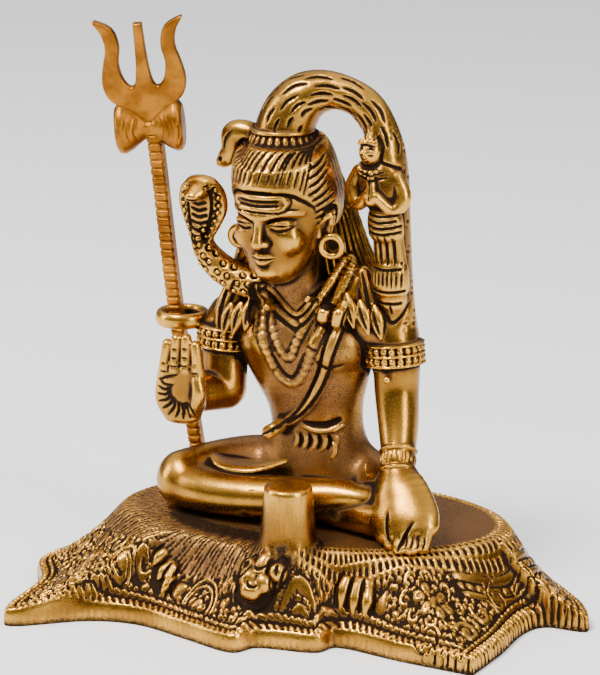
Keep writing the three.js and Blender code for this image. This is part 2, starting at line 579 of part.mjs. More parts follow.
function face() {
  const skull = limb(SKULL.map(([z, y, a, b]) => [0, y, z, a, b]),
    { sides: 16, ends: [0.3, 0.2], level: true });
  const line = (places, sizes) => limb(
    places.map(([x, z, lift], i) => [...onFace(x, z, lift ?? 0), sizes[i] ?? sizes[0]]),
    { side: Z, sides: 4, ends: [0, 0] });
  const pair = (make) => [make(-1), make(1)];
  const brow = (hand) =>
    line([[hand * 0.05, 0.555], [hand * 0.16, 0.59], [hand * 0.28, 0.56]], [0.022, 0.03, 0.015]);
  const lid = (hand) =>
    line([[hand * 0.07, 0.485], [hand * 0.16, 0.53], [hand * 0.26, 0.485]], [0.014, 0.022, 0.014]);
  const eye = (hand) =>
    placed(ball(1, 6), onFace(hand * 0.16, 0.485, -0.03), { stretch: [0.085, 0.055, 0.04] });
  const ear = (hand) => limb([
    [hand * 0.355, 0.03, 0.62, 0.05, 0.03], [hand * 0.385, 0.07, 0.56, 0.075, 0.035],
    [hand * 0.38, 0.05, 0.44, 0.06, 0.04], [hand * 0.365, 0.02, 0.32, 0.045, 0.04],
  ], { side: Y, sides: 6 });
  const hoop = (hand) => placed(beadRing(0.085, 0.032, 5, { narrow: 1, sides: 4 }),
    [hand * 0.39, 0, 0.2], { up: [0.35, -1, 0] });
  const nose = limb([
    [...onFace(0, 0.56, -0.01), 0.025, 0.03], [...onFace(0, 0.44, 0.02), 0.032, 0.04],
    [...onFace(0, 0.345, 0.05), 0.062, 0.05], [...onFace(0, 0.305, 0.01), 0.05, 0.03],
  ], { sides: 6, level: true });
  const lips = [
    line([[-0.1, 0.205], [0, 0.225, 0.012], [0.1, 0.205]], [0.01, 0.024, 0.01]),
    line([[-0.1, 0.198], [0, 0.175, 0.01], [0.1, 0.198]], [0.01, 0.028, 0.01]),
  ];
  const chin = placed(ball(1, 6), onFace(0, 0.075, -0.03), { stretch: [0.085, 0.06, 0.065] });
  const mark = [0.655, 0.7, 0.745].map((z) =>
    line([[-0.19, z, 0.002], [0, z, 0.002], [0.19, z, 0.002]], [0.016]));
  return [skull, nose, chin, ...lips, ...mark, ...pair(brow), ...pair(lid), ...pair(eye), ...pair(ear),
    ...pair(hoop)].map(headPart);
}

function hair() {
  const cap = limb([
    [0, 0.14, 0.42, 0.41, 0.36], [0, 0.1, 0.58, 0.44, 0.43], [0, 0.06, 0.74, 0.43, 0.45],
    [0, 0.03, 0.88, 0.36, 0.38], [0, 0.02, 0.98, 0.26, 0.26],
  ], { sides: 28, ends: [0, 0], relief: fluted(0.05) });
  const collar = (k, ring) => ((ring === 1 || ring === 2) && k % 2 ? 0.86 : 1);
  const stream = limb([
    [-8.4, 2, 114.6, 9], [-8.4, 2, 115.4, 10.4], [-8.1, 2, 119, 10.3], [-8, 2, 119.8, 9.2, 9],
    [-6, 2.8, 125, 8.4, 8.6], [-2.5, 4, 129.6, 7.6], [2, 5.4, 131.6, 6.6], [7.5, 6, 132, 5.4, 5.6],
    [14, 6.4, 130, 5.2], [18, 6.4, 127, 5.3],
    [21, 6.4, 122.6, 5.5, 5.2], [23.4, 6.2, 116, 6.2, 5.6], [25.2, 6, 107, 6.6, 5.4], [26, 6, 97, 5.6, 5.2],
    [26.6, 6, 85, 5.4, 5.2], [27, 6, 72, 5.8, 5.6], [27.6, 6, 60, 6.4],
  ], { side: Y, sides: 14, ends: [0, 0], relief: (k, ring) => fluted(0.08)(k) * collar(k, ring) });
  const mass = limb([
    [-4.5, 11, 104, 12, 6], [-3, 13, 94, 14, 8], [-1.5, 13.5, 82, 17, 8], [0, 13.5, 71, 20, 8],
    [1, 12.5, 60, 21.5, 6.5],
  ], { sides: 16, relief: fluted(0.08) });
  const lock = (x, y, z, sway) => limb([
    [x, y, z, 2.4], [x + 0.8 * sway, y - 3, z - 9, 2.7], [x + 0.9 * sway, y - 5, z - 19, 1],
  ], { side: Y, sides: 5, steps: 2, ends: [0, 0.5] });
  return [
    headPart(cap), stream, mass,
    lock(12, 6, 80, 5), lock(17, 4.5, 77, 5), lock(-20, 3, 73, -6), lock(-25, 2.5, 71, -3),
  ];
}

// The tiny river goddess, who sits in the hair's fall with folded hands.
function goddess() {
  const pleats = (k, ring) => (ring >= 7 && ring <= 8 && k % 2 ? 0.84 : 1);
  return [
    placed(ball(3.5, 8), [20.6, 0.8, 115.2], { stretch: [0.92, 1, 1.1] }),
    limb([[20.4, 1.5, 117.8, 3, 2.6], [21, 2.6, 121.6, 1.8], [21.4, 3, 124.4, 0.8]],
      { sides: 5, ends: [0, 0.5] }),
    placed(ball(0.6, 4), [20.1, -2.5, 114.8], { stretch: [1, 1, 1.8] }),
    limb([
      [20.8, 2, 112, 2.4], [22.6, 2, 109, 6.4, 3.4], [23.6, 1.4, 103, 6, 4], [25, 1.6, 97.4, 4.2, 3.2],
      [25.4, 1, 96, 5.4, 4], [25.8, 1, 91.4, 5.6, 4], [26.2, 1.6, 90.4, 4.8, 3.2], [27, 1.6, 80.8, 5.4, 3.4],
      [27, 1.4, 79.6, 5.8, 4.2], [27.2, 1.4, 74.6, 5.9, 4.2], [27.2, 1.8, 73.6, 4.6, 3],
      [27.6, 1.6, 70.4, 4.8, 3.2], [28.4, 1.8, 65.4, 1.4, 1.2],
    ], { sides: 12, level: true, ends: [0, 0], relief: pleats }),
    limb([[16.6, 2, 109, 2.2], [14.8, 1.4, 104, 2.4], [17.6, -0.6, 99.5, 2], [21.6, -3, 103.4, 1.7]],
      { sides: 5 }),
    limb([[28.6, 2, 108, 2.2], [31, 1.4, 102, 2.5], [28.4, -0.6, 98.4, 2], [24, -3, 102.6, 1.7]],
      { sides: 5 }),
    limb([[22.4, -3.2, 101.4, 2, 1.7], [22.2, -2.8, 108.4, 1.2, 1]], { sides: 6 }),
  ];
}

function cobra() {
  const scaly = (k, number) => ((k + number) % 2 ? 0.93 : 1);
  const ribs = numbers(4).map((i) => {
    const left = [-34.6 + 0.16 * i, -7.4 - 0.3 * i, 87.4 + 3.4 * i, 1];
    const right = [-29.4 + 0.1 * i, -8.4 - 0.34 * i, 87.2 + 3.4 * i, 1];
    return limb([left, right], { side: Z, sides: 4, ends: [0, 0] });
  });
  return [
    limb([[-8, 0, 72.4, 4.4], [-15, -2.4, 72, 4.8], [-22, -2.6, 73.6, 4.7], [-28, -3.4, 77.4, 4.4],
      [-31.6, -4.6, 82.4, 3.7], [-32.4, -5.6, 88, 3.5]], { side: Y, steps: 2, ends: [0, 0], relief: scaly }),
    limb([[-32.4, -5.2, 86, 3.6, 2.4], [-31.8, -5.8, 91, 6.2, 2.6], [-31.2, -6.4, 96, 8, 2.8],
      [-30.6, -7.6, 100.6, 7.6, 3.2], [-30.4, -8.6, 103.4, 5.6, 2.8]]),
    ...ribs,
    limb([[-30.4, -6.6, 102.4, 3.6, 2.8], [-30.8, -10.8, 102, 3.9, 2.6], [-31.2, -14.6, 100.4, 2.4, 1.7]],
      { ends: [0, 0.6] }),
    placed(ball(1, 4), [-33.2, -11.6, 103]),
    placed(ball(1, 4), [-28.4, -11.6, 103]),
  ];
}

// The crescent moon's lobe at the right of the hair band.
const crescent = () => limb([
  [-14, 1.6, 116.4, 3.4, 3.4], [-20, 1.2, 118, 3.2, 4.4], [-24.6, 0.6, 115.8, 3, 5],
  [-26.8, 0.2, 111.6, 2.6, 4], [-28.2, 0, 108.4, 2, 2],
], { side: Y });

// The rod's line in the figure's frame: its foot on the seat, the ring, below the drum, the drum's middle.
const ROD_LINE = [[-42.2, 14.4, 0], [-45.4, 3.3, 57.6], [-46.4, -7.2, 112], [-47.6, -8.6, 119.4]];
const HEAD_PLACE = [-48, -8.2, 119.8];
const HEAD_UP = [0.02, -0.18, 1];

function ring() {
  const [foot, eye] = ROD_LINE;
  const lean = hypot(eye[0] - foot[0], eye[1] - foot[1]) / (eye[2] - foot[2]);
  const hole = hypot(ROD_WIDTH / 2 + ROD_OFFSET, ROD_WIDTH / 2) + ROD_CLEARANCE + (lean * RING_HEIGHT) / 2;
  const [x, y, z] = seatedSpot(eye);
  const outer = hole + RING_BAND;
  const half = RING_HEIGHT / 2;
  const profile = [
    [hole, -half + 0.8], [hole + 0.8, -half], [outer - 1.2, -half], [outer, -half + 1.4], [outer, half - 1.2],
    [outer - 1, half], [hole + 0.6, half], [hole, half - 0.6], [hole, -half + 0.8],
  ];
  const round = new THREE.LatheGeometry(profile.map(([r, h]) => new THREE.Vector2(r, h)), 20);
  const bore = new THREE.CylinderGeometry(hole, hole, 4 * RING_HEIGHT, 20);
  return [round, bore].map((geometry) => geometry.rotateX(PI / 2).translate(x + ROD_OFFSET, y, z));
}

function figure() {
  const parts = [
    ...body(), ...legs(), ...leftArm(), ...rightArm(), ...face(), ...hair(), ...goddess(), ...cobra(),
    crescent(),
  ].map(seated);
  const [round, bore] = ring();
  const below = new THREE.BoxGeometry(4 * BASE_LENGTH, 4 * BASE_DEPTH, 2 * SEAT_HEIGHT)
    .translate(0, 0, SEAT_GAP);
  return joined([...parts, round]).subtract(solid(bore)).subtract(solid(below));
}

// The trident's head is laid out in its own frame: X across the prongs, Z along them, from the drum's middle.
function forkOutline() {
  const half = [
    [0.1, 0.96], [0.13, 0.62], [0.2, 0.42], [0.32, 0.385], [0.46, 0.46], [0.52, 0.6], [0.46, 0.76],
    [0.58, 0.92], [0.94, 1], [1, 0.985], [0.84, 0.88], [0.78, 0.74], [0.88, 0.58], [0.94, 0.43],
    [0.86, 0.3], [0.66, 0.22], [0.3, 0.12], [0.2, -0.1],
  ].map(([x, z]) => [(x * FORK_SPREAD) / 2, z * FORK_HEIGHT]);
  const mirrored = half.map(([x, z]) => [-x, z]).reverse();
  return [...half, ...mirrored].map(([x, z]) => new THREE.Vector2(x, z));
}

function trident() {
  const rise = 0.25 * ROD_WIDTH;
  const line = new THREE.CatmullRomCurve3(ROD_LINE.map((p) => vec(seatedSpot(p)).add(vec([0, 0, rise]))));
  const corner = ROD_WIDTH * Math.SQRT1_2;
  const stations = numbers(ROD_RUNGS + 1).map((i) => [...line.getPointAt(i / ROD_RUNGS).toArray(), corner]);
  const rungs = (k, number) => (number % 2 ? 0.9 : 1);
  const rod = limb(stations, { sides: 4, ends: [0, 0], turn: PI / 4, relief: rungs });
  const flat = { depth: FORK_THICKNESS, bevelEnabled: false };
  const fork = new THREE.ExtrudeGeometry(new THREE.Shape(forkOutline()), flat)
    .translate(0, 0, -FORK_THICKNESS / 2).rotateX(PI / 2);
  const lobe = [
    [0, -0.5], [0.92, -0.5], [1, -0.43], [0.72, -0.24], [0.4, 0], [0.72, 0.24], [1, 0.43], [0.92, 0.5],
    [0, 0.5],
  ].map(([r, h]) => new THREE.Vector2(r * DRUM_RADIUS, h * DRUM_LENGTH));
  const drum = new THREE.LatheGeometry(lobe, 14).rotateZ(-PI / 2).scale(1, 0.72, 1);
  const head = [fork, drum]
    .map((geometry) => geometry.rotateY(radians(-HEAD_ROLL)).rotateZ(radians(HEAD_TURN)))
    .map((geometry) => placed(geometry, seatedSpot(HEAD_PLACE), { up: HEAD_UP }));
  return joined([rod, ...head]);
}

const object = new THREE.Group();
object.name = "shiva figure";
object.add(meshOf(base(), "base", GOLD));
object.add(meshOf(figure(), "figure", GOLD));
object.add(meshOf(trident(), "trident", BARE_GOLD));
export default object;
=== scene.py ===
import math

import bpy
import numpy as np
from mathutils import Matrix, Vector


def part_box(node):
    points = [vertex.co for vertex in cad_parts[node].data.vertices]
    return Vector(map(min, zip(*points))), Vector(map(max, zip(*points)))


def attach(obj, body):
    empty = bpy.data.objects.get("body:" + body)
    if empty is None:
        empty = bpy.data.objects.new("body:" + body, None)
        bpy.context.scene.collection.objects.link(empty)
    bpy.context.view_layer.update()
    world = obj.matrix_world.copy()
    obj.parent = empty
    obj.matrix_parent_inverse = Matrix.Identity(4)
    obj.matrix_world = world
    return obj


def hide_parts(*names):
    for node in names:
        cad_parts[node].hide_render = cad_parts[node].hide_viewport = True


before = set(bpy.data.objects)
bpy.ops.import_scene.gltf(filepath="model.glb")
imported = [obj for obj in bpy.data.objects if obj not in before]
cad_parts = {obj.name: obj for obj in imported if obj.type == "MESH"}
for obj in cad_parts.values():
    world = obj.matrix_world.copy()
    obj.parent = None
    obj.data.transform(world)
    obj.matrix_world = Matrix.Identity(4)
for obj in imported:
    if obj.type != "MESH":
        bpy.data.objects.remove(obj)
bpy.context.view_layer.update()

# Fineness of the clay, in mm, and how many triangles each mesh keeps
FIGURE_CELL = 0.42
BASE_CELL = 0.4
TRIDENT_CELL = 0.32
FIGURE_FACES = 190000
BASE_FACES = 190000
TRIDENT_FACES = 50000

# The blocks of clay: their low and high corners
FIGURE_BLOCK = ((-58, -32, -1), (56, 30, 142))
TRIDENT_BLOCK = ((-66, -22, 25), (-28, 30, 183))
BASE_BLOCK_LOW = -1
BASE_BLOCK_HIGH = 47

# Where the figure sits: on the seat's top, turned a little to the right
FIGURE_SPOT = (-3, 7)
FIGURE_TURN = 6
SEAT_GAP = 0.3

# Camera: the angle, distance and framing of the photograph
CAMERA_AZIMUTH = 17
CAMERA_ELEVATION = 15
CAMERA_DISTANCE = 0.8
CAMERA_TARGET = (-2, 0, 0)
TARGET_RIGHT = -0.625
TARGET_UP = 81.41
LENS = 136.5
SENSOR = 36

# Lights: name, azimuth, elevation, distance and size in metres, power in watts
LIGHTS = [("key", -30, 58, 1.4, (0.45, 0.35), 30), ("right_strip", 62, 25, 1.2, (0.16, 0.8), 10),
          ("left_strip", -75, 20, 1.3, (0.16, 0.8), 8)]
LIT_HEIGHT = 0.08
FLOOR_HALF = 12.0
FLOOR_TONE = (0.9, 0.9, 0.9, 1)

# Tones of the metal
GOLD_BRIGHT = (0.69, 0.35, 0.047, 1)
GOLD_DEEP = (0.17, 0.065, 0.009, 1)
BROWN_MATTE = (0.2, 0.08, 0.02, 1)
BLACKING = (0.014, 0.006, 0.002, 1)
BARE_ORANGE = (0.2, 0.068, 0.006, 1)
BARE_LIGHT = (0.37, 0.145, 0.014, 1)

# How far off the surface empty clay counts as, and over what width a groove's ink fades
FAR = 6.0
INK_EDGE = 0.35
X = np.array([1.0, 0.0, 0.0])
Y = np.array([0.0, 1.0, 0.0])
Z = np.array([0.0, 0.0, 1.0])


def unit(v):
    v = np.asarray(v, float)
    return v / np.linalg.norm(v)


def soft_union(old, new, soft):
    share = np.clip(0.5 + 0.5 * (old - new) / soft, 0, 1)
    return old + (new - old) * share - soft * share * (1 - share)


def soft_cut(old, new, soft):
    return -soft_union(-old, new, soft)


def spline(points, steps):
    """A smooth curve through rows of numbers, with `steps` rows from each to the next."""
    points = np.asarray(points, float)
    if len(points) < 3:
        shares = np.linspace(0, 1, steps + 1)[:, None]
        return points[0] + shares * (points[1] - points[0])
    padded = np.vstack([2 * points[0] - points[1], points, 2 * points[-1] - points[-2]])
    rows = []
    for i in range(1, len(padded) - 2):
        p0, p1, p2, p3 = padded[i - 1:i + 3]
        for t in np.arange(steps) / steps:
            rows.append(0.5 * (2 * p1 + (p2 - p0) * t + (2 * p0 - 5 * p1 + 4 * p2 - p3) * t * t
                               + (3 * p1 - p0 - 3 * p2 + p3) * t ** 3))
    rows.append(points[-1])
    return np.array(rows)


class Clay:
    """A block of cells that each hold the distance in mm to the surface, below 0 inside it."""

    def __init__(self, low, high, cell):
        self.low = np.array(low, float)
        self.cell = cell
        self.shape = np.ceil((np.array(high) - self.low) / cell).astype(int) + 1
        self.field = np.full(self.shape, FAR, np.float32)
        self.ink_and_shade = np.zeros(self.shape, np.float16)

    def block(self, low, high):
        start = np.clip(np.floor((np.asarray(low) - self.low) / self.cell).astype(int), 0, self.shape)
        stop = np.clip(np.ceil((np.asarray(high) - self.low) / self.cell).astype(int) + 1, 0, self.shape)
        axes = [(self.low[i] + self.cell * np.arange(start[i], stop[i])).astype(np.float32) for i in range(3)]
        window = tuple(slice(a, b) for a, b in zip(start, stop))
        return window, (axes[0][:, None, None], axes[1][None, :, None], axes[2][None, None, :])

    def merge(self, window, distance, soft, cut=False, ink_and_shade=0):
        """Joins a body to the clay, or cuts it out. A cut leaves black patina in its groove, and a body
        covers that patina.
        """
        if not distance.size:
            return
        if cut:
            self.ink_and_shade[window] = np.maximum(self.ink_and_shade[window], np.clip(0.85 - distance / INK_EDGE, 0, 1))
            self.field[window] = soft_cut(self.field[window], distance, np.float32(soft))
        else:
            self.ink_and_shade[window] = np.where(distance < self.field[window], ink_and_shade, self.ink_and_shade[window])
            self.field[window] = soft_union(self.field[window], distance, np.float32(soft))

    def limb(self, stations, side=X, steps=4, soft=0.8, relief=None, level=None, cut=False, corner=None,
             ends=(1, 1)):
        """Adds a body through stations (x, y, z, a, b): ellipses with half-axis a towards `side` and b across
        it, square to the line or to the direction `level`. `relief(angle, way)` raises its skin by the angle
        round it and the way along it in mm. With a `corner` radius the sections are rounded rectangles.
        `ends` is how far the two ends bulge, as shares of their half-axes."""
        rows = [tuple(s) if len(s) == 5 else tuple(s) + (s[3],) for s in stations]
        path = spline(rows, steps)
        path[:, 3:] = np.maximum(path[:, 3:], 0.05)
        reach = path[:, 3:].max(axis=1) + 2 * soft + 1
        low = path[:, :3].min(axis=0) - reach.max()
        high = path[:, :3].max(axis=0) + reach.max()
        window, _ = self.block(low, high)
        start = np.array([part.start for part in window])
        shape = [part.stop - part.start for part in window]
        local = np.full(shape, FAR, np.float32)
        carved = np.zeros(shape, np.float16)
        lengths = np.linalg.norm(np.diff(path[:, :3], axis=0), axis=1)
        total = lengths.sum()
        way = 0.0
        for i, (first, last) in enumerate(zip(path[:-1], path[1:])):
            near = max(reach[i], reach[i + 1])
            low = np.minimum(first[:3], last[:3]) - near
            high = np.maximum(first[:3], last[:3]) + near
            piece, (x, y, z) = self.block(low, high)
            inner = tuple(slice(p.start - s, p.stop - s) for p, s in zip(piece, start))
            distance, depth = segment(x, y, z, first, last, side, level, relief, way, corner)
            if ends[0] < 1 and way < 1.5 * path[0, 3:].max():
                outward = path[0, :3] - path[1, :3]
                distance = np.maximum(distance, end_plane(x, y, z, path[0], outward, ends[0]))
            way += lengths[i]
            if ends[1] < 1 and total - way < 1.5 * path[-1, 3:].max():
                outward = path[-1, :3] - path[-2, :3]
                distance = np.maximum(distance, end_plane(x, y, z, path[-1], outward, ends[1]))
            nearer = distance < local[inner]
            local[inner] = np.where(nearer, distance, local[inner])
            if relief is not None:
                carved[inner] = np.where(nearer, np.clip((-depth - 0.2) / 0.3, 0, 1), carved[inner])
        self.merge(window, local, soft, cut, carved)

    def ball(self, centre, sizes, soft=0.5, turn=None, cut=False):
        """Adds an ellipsoid with half-axes `sizes`, turned by the rows of `turn`."""
        sizes = np.broadcast_to(np.asarray(sizes, float), 3)
        reach = sizes.max() + 2 * soft + 1
        window, (x, y, z) = self.block(np.asarray(centre) - reach, np.asarray(centre) + reach)
        axes = np.eye(3) if turn is None else turn
        offset = (x - centre[0], y - centre[1], z - centre[2])
        parts = [sum(offset[i] * np.float32(axes[k][i]) for i in range(3)) for k in range(3)]
        self.merge(window, ellipsoid_distance(*parts, *sizes), soft, cut)

    def turned(self, centre, profile, axis=Z, soft=0.3, squash=(1, 1)):
        """Adds a body turned round `axis` from a closed profile of (radius, height)."""
        profile = np.asarray(profile, float)
        reach = np.hypot(profile[:, 0], profile[:, 1]).max() + 2 * soft + 1
        window, (x, y, z) = self.block(np.asarray(centre) - reach, np.asarray(centre) + reach)
        axis = unit(axis)
        first = unit(np.cross(axis, Z if abs(axis[2]) < 0.9 else Y))
        offset = (x - centre[0], y - centre[1], z - centre[2])
        u, v, w = [sum(offset[i] * np.float32(way[i]) for i in range(3))
                   for way in (first, np.cross(axis, first), axis)]
        around = np.hypot(u / squash[0], v / squash[1])
        self.merge(window, polygon_distance(around, w, profile).astype(np.float32), soft)

    def hoop(self, centre, normal, radius, tube, rise=None, soft=0.4, beads=0, depth=0.0):
        """Adds a ring round `normal`, its tube `rise` high along it and swelling into beads."""
        rise = tube if rise is None else rise
        reach = radius + max(tube, rise) + 2 * soft + 1
        window, (x, y, z) = self.block(np.asarray(centre) - reach, np.asarray(centre) + reach)
        normal = unit(normal)
        first = unit(np.cross(normal, X if abs(normal[0]) < 0.9 else Y))
        second = np.cross(normal, first)
        offset = (x - centre[0], y - centre[1], z - centre[2])
        u, v, w = [sum(offset[i] * np.float32(axis[i]) for i in range(3)) for axis in (first, second, normal)]
        distance = (np.hypot((np.hypot(u, v) - radius) / tube, w / rise) - 1) * min(tube, rise)
        sunk = np.zeros(np.broadcast(u, v, w).shape)
        if beads:
            sunk = sunk + depth * (1 - np.abs(np.cos(np.arctan2(v, u) * beads / 2))) ** 2
        self.merge(window, (distance + sunk).astype(np.float32), soft,
                   ink_and_shade=np.clip((sunk - 0.25) / 0.3, 0, 1))

    def sample(self, points, field=None):
        """The field between the cells' centres, at each point."""
        field = self.field if field is None else field
        spot = (points - self.low) / self.cell
        spot = np.clip(spot, 0, np.array(field.shape) - 1.001)
        i, j, k = np.floor(spot).astype(int).T
        u, v, w = (spot - np.floor(spot)).T
        value = np.zeros(len(points))
        for di in (0, 1):
            for dj in (0, 1):
                for dk in (0, 1):
                    weight = (u if di else 1 - u) * (v if dj else 1 - v) * (w if dk else 1 - w)
                    value += weight * field[i + di, j + dj, k + dk]
        return value

    def snap(self, points, direction, reach=6.0):
        """Moves each point along `direction` to the first surface it meets, from `reach` before it."""
        points = np.asarray(points, float)
        direction = np.broadcast_to(np.asarray(direction, float), points.shape)
        direction = direction / np.linalg.norm(direction, axis=1)[:, None]
        ways = np.arange(-reach, reach, self.cell * 0.7)
        rays = points[:, None, :] + ways[None, :, None] * direction[:, None, :]
        values = self.sample(rays.reshape(-1, 3)).reshape(len(points), len(ways))
        inside = values < 0
        first = np.argmax(inside, axis=1)
        met = inside.any(axis=1) & (first > 0)
        before = np.maximum(first - 1, 0)
        rows = np.arange(len(points))
        near, deep = values[rows, before], values[rows, first]
        share = np.where(met, near / np.where(near == deep, 1, near - deep), 0)
        way = np.where(met, ways[before] + share * (ways[1] - ways[0]), 0)
        return points + way[:, None] * direction

    def stroke(self, points, width, depth, direction=Y, cut=True, soft=0.2, taper=True, steps=5, reach=6.0,
               relief=None, towards=None):
        """Carves a groove `depth` deep along the surface met from `points` in `direction`, or towards a
        place, or lays a cord that stands `depth` proud of it."""
        path = spline(points, steps)
        direction = unit(direction)
        if towards is not None:
            direction = np.asarray(towards, float) - path
            direction = direction / np.linalg.norm(direction, axis=1)[:, None]
        path = self.snap(path, direction, reach)
        share = np.linspace(0.03, 0.97, len(path))
        swell = np.sqrt(np.sin(np.pi * share)) if taper else np.ones(len(path))
        size = width / 2 * swell
        sink = (depth * swell - size) if cut else (size - depth * swell)
        stations = np.column_stack([path + direction * sink[:, None], size])
        self.limb([tuple(s) for s in stations], steps=1, soft=soft, relief=relief, cut=cut)

    def blurred(self, radius):
        """How full of clay the space within `radius` mm is, from 0 to 1."""
        full = np.clip(0.5 - self.field / self.cell, 0, 1)
        half = max(1, int(round(radius / self.cell / 1.5)))
        for _ in range(2):
            for axis in range(3):
                full = box_blur(full, half, axis)
        return full


def box_blur(values, half, axis):
    pad = [(0, 0)] * 3
    pad[axis] = (half + 1, half)
    total = np.cumsum(np.pad(values, pad, mode="edge"), axis=axis, dtype=np.float64)
    count = values.shape[axis]
    upper = np.take(total, np.arange(2 * half + 1, 2 * half + 1 + count), axis=axis)
    lower = np.take(total, np.arange(0, count), axis=axis)
    return ((upper - lower) / (2 * half + 1)).astype(np.float32)


def ellipsoid_distance(u, v, w, a, b, c):
    first = np.sqrt((u / a) ** 2 + (v / b) ** 2 + (w / c) ** 2)
    second = np.sqrt((u / a ** 2) ** 2 + (v / b ** 2) ** 2 + (w / c ** 2) ** 2)
    return (first * (first - 1) / np.maximum(second, 1e-4)).astype(np.float32)


def polygon_distance(u, v, corners):
    """The distance to a flat outline, below 0 inside it."""
    nearest = np.full(np.broadcast(u, v).shape, 1e6, np.float32)
    inside = np.zeros(nearest.shape, bool)
    for (ax, ay), (bx, by) in zip(corners, np.roll(corners, -1, axis=0)):
        ex, ey = bx - ax, by - ay
        share = np.clip(((u - ax) * ex + (v - ay) * ey) / (ex * ex + ey * ey), 0, 1)
        nearest = np.minimum(nearest, np.hypot(u - ax - share * ex, v - ay - share * ey))
        crosses = (ay > v) != (by > v)
        inside ^= crosses & (u < ax + (v - ay) * ex / (ey if abs(ey) > 1e-9 else 1e-9))
    return np.where(inside, -nearest, nearest)


def box_distance(u, v, w, a, b, corner):
    """The distance to a flat rectangle of half sides a and b, thickened by its corners' radius."""
    return np.sqrt(np.maximum(np.abs(u) - a + corner, 0) ** 2 + np.maximum(np.abs(v) - b + corner, 0) ** 2
                   + w ** 2) + np.minimum(np.maximum(np.abs(u) - a, np.abs(v) - b) + corner, 0) - corner


def rounded_overlap(first, second, radius):
    """The distance to where two bodies overlap, with its edge rounded."""
    outer = np.hypot(np.maximum(first + radius, 0), np.maximum(second + radius, 0))
    return np.minimum(np.maximum(first, second) + radius, 0) + outer - radius


def end_plane(x, y, z, station, direction, bulge):
    """The distance beyond a plane across a limb's end, moved out by a share of the end's half-axis."""
    nx, ny, nz = unit(direction)
    out = (x - station[0]) * nx + (y - station[1]) * ny + (z - station[2]) * nz
    return (out - bulge * min(station[3], station[4])).astype(np.float32)


def segment(x, y, z, first, last, side, level, relief, way, corner):
    """The distance to one stretch of a limb, and its relief there."""
    run = last[:3] - first[:3]
    length = max(np.linalg.norm(run), 1e-6)
    tangent = run / length if level is None else level
    across = unit(side - np.dot(side, tangent) * tangent) if abs(np.dot(unit(side), tangent)) < 0.99 else Y
    up = np.cross(tangent, across)
    ox, oy, oz = x - first[0], y - first[1], z - first[2]
    share = (ox * tangent[0] + oy * tangent[1] + oz * tangent[2]) / np.float32(np.dot(run, tangent))
    share = np.clip(share, 0, 1)
    ox, oy, oz = ox - share * run[0], oy - share * run[1], oz - share * run[2]
    u = ox * across[0] + oy * across[1] + oz * across[2]
    v = ox * up[0] + oy * up[1] + oz * up[2]
    w = ox * tangent[0] + oy * tangent[1] + oz * tangent[2]
    a = first[3] + (last[3] - first[3]) * share
    b = first[4] + (last[4] - first[4]) * share
    if corner is None:
        distance = ellipsoid_distance(u, v, w, a, b, np.minimum(a, b))
    else:
        distance = box_distance(u, v, w, a, b, corner)
    depth = 0
    if relief is not None:
        depth = relief(np.arctan2(v / b, u / a), way + share * length)
    return (distance - depth).astype(np.float32), depth


# Meshes out of clay

def surface_of(clay):
    """The clay's surface as corners and quads, one corner in each cell that it passes through."""
    inside = clay.field < 0
    count = sum(inside[i:i - 1 or None, j:j - 1 or None, k:k - 1 or None].astype(np.uint8)
                for i in (0, 1) for j in (0, 1) for k in (0, 1))
    passed = (count > 0) & (count < 8)
    cells = np.argwhere(passed)
    index = np.full(passed.shape, -1, np.int32)
    index[passed] = np.arange(len(cells))
    points = clay.low + clay.cell * (cells + middle_of_crossings(clay.field, cells))
    quads = [quads_across(inside, index, axis) for axis in range(3)]
    return settled(clay, points), np.vstack(quads)


def middle_of_crossings(field, cells):
    """The mean of the places where the surface crosses each cell's edges, in shares of the cell."""
    total = np.zeros((len(cells), 3))
    hits = np.zeros(len(cells))
    i, j, k = cells.T
    for axis in range(3):
        others = [a for a in range(3) if a != axis]
        for p in (0, 1):
            for q in (0, 1):
                start = np.zeros(3, int)
                start[others[0]], start[others[1]] = p, q
                end = start.copy()
                end[axis] = 1
                d0 = field[i + start[0], j + start[1], k + start[2]]
                d1 = field[i + end[0], j + end[1], k + end[2]]
                crossed = (d0 < 0) != (d1 < 0)
                share = np.where(crossed, d0 / np.where(crossed, d0 - d1, 1), 0)
                spot = start + share[:, None] * (end - start)
                total += np.where(crossed[:, None], spot, 0)
                hits += crossed
    return total / hits[:, None]


def quads_across(inside, index, axis):
    """The quads that part inside from outside along an axis, each out of the four cells round an edge."""
    a, b = (axis + 1) % 3, (axis + 2) % 3
    changed = inside != np.roll(inside, -1, axis=axis)
    for other in range(3):
        edge = [slice(None)] * 3
        edge[other] = slice(-1, None)
        changed[tuple(edge)] = False
        if other != axis:
            edge[other] = slice(0, 1)
            changed[tuple(edge)] = False
    spots = np.argwhere(changed)
    leaving = inside[changed]
    corner = []
    for da, db in ((1, 1), (0, 1), (0, 0), (1, 0)):
        spot = spots.copy()
        spot[:, a] -= da
        spot[:, b] -= db
        corner.append(index[spot[:, 0], spot[:, 1], spot[:, 2]])
    quad = np.stack(corner, axis=1)
    quad[~leaving] = quad[~leaving][:, ::-1]
    return quad


def settled(clay, points):
    """Points moved onto the clay's surface, along its slope."""
    step = clay.cell * 0.5
    for _ in range(2):
        value = clay.sample(points)
        slope = np.stack([clay.sample(points + step * axis) - clay.sample(points - step * axis)
                          for axis in (X, Y, Z)], axis=1) / (2 * step)
        steep = np.maximum((slope ** 2).sum(axis=1), 0.05)
        move = -(value / steep)[:, None] * slope
        points = points + np.clip(move, -step, step)
    return points


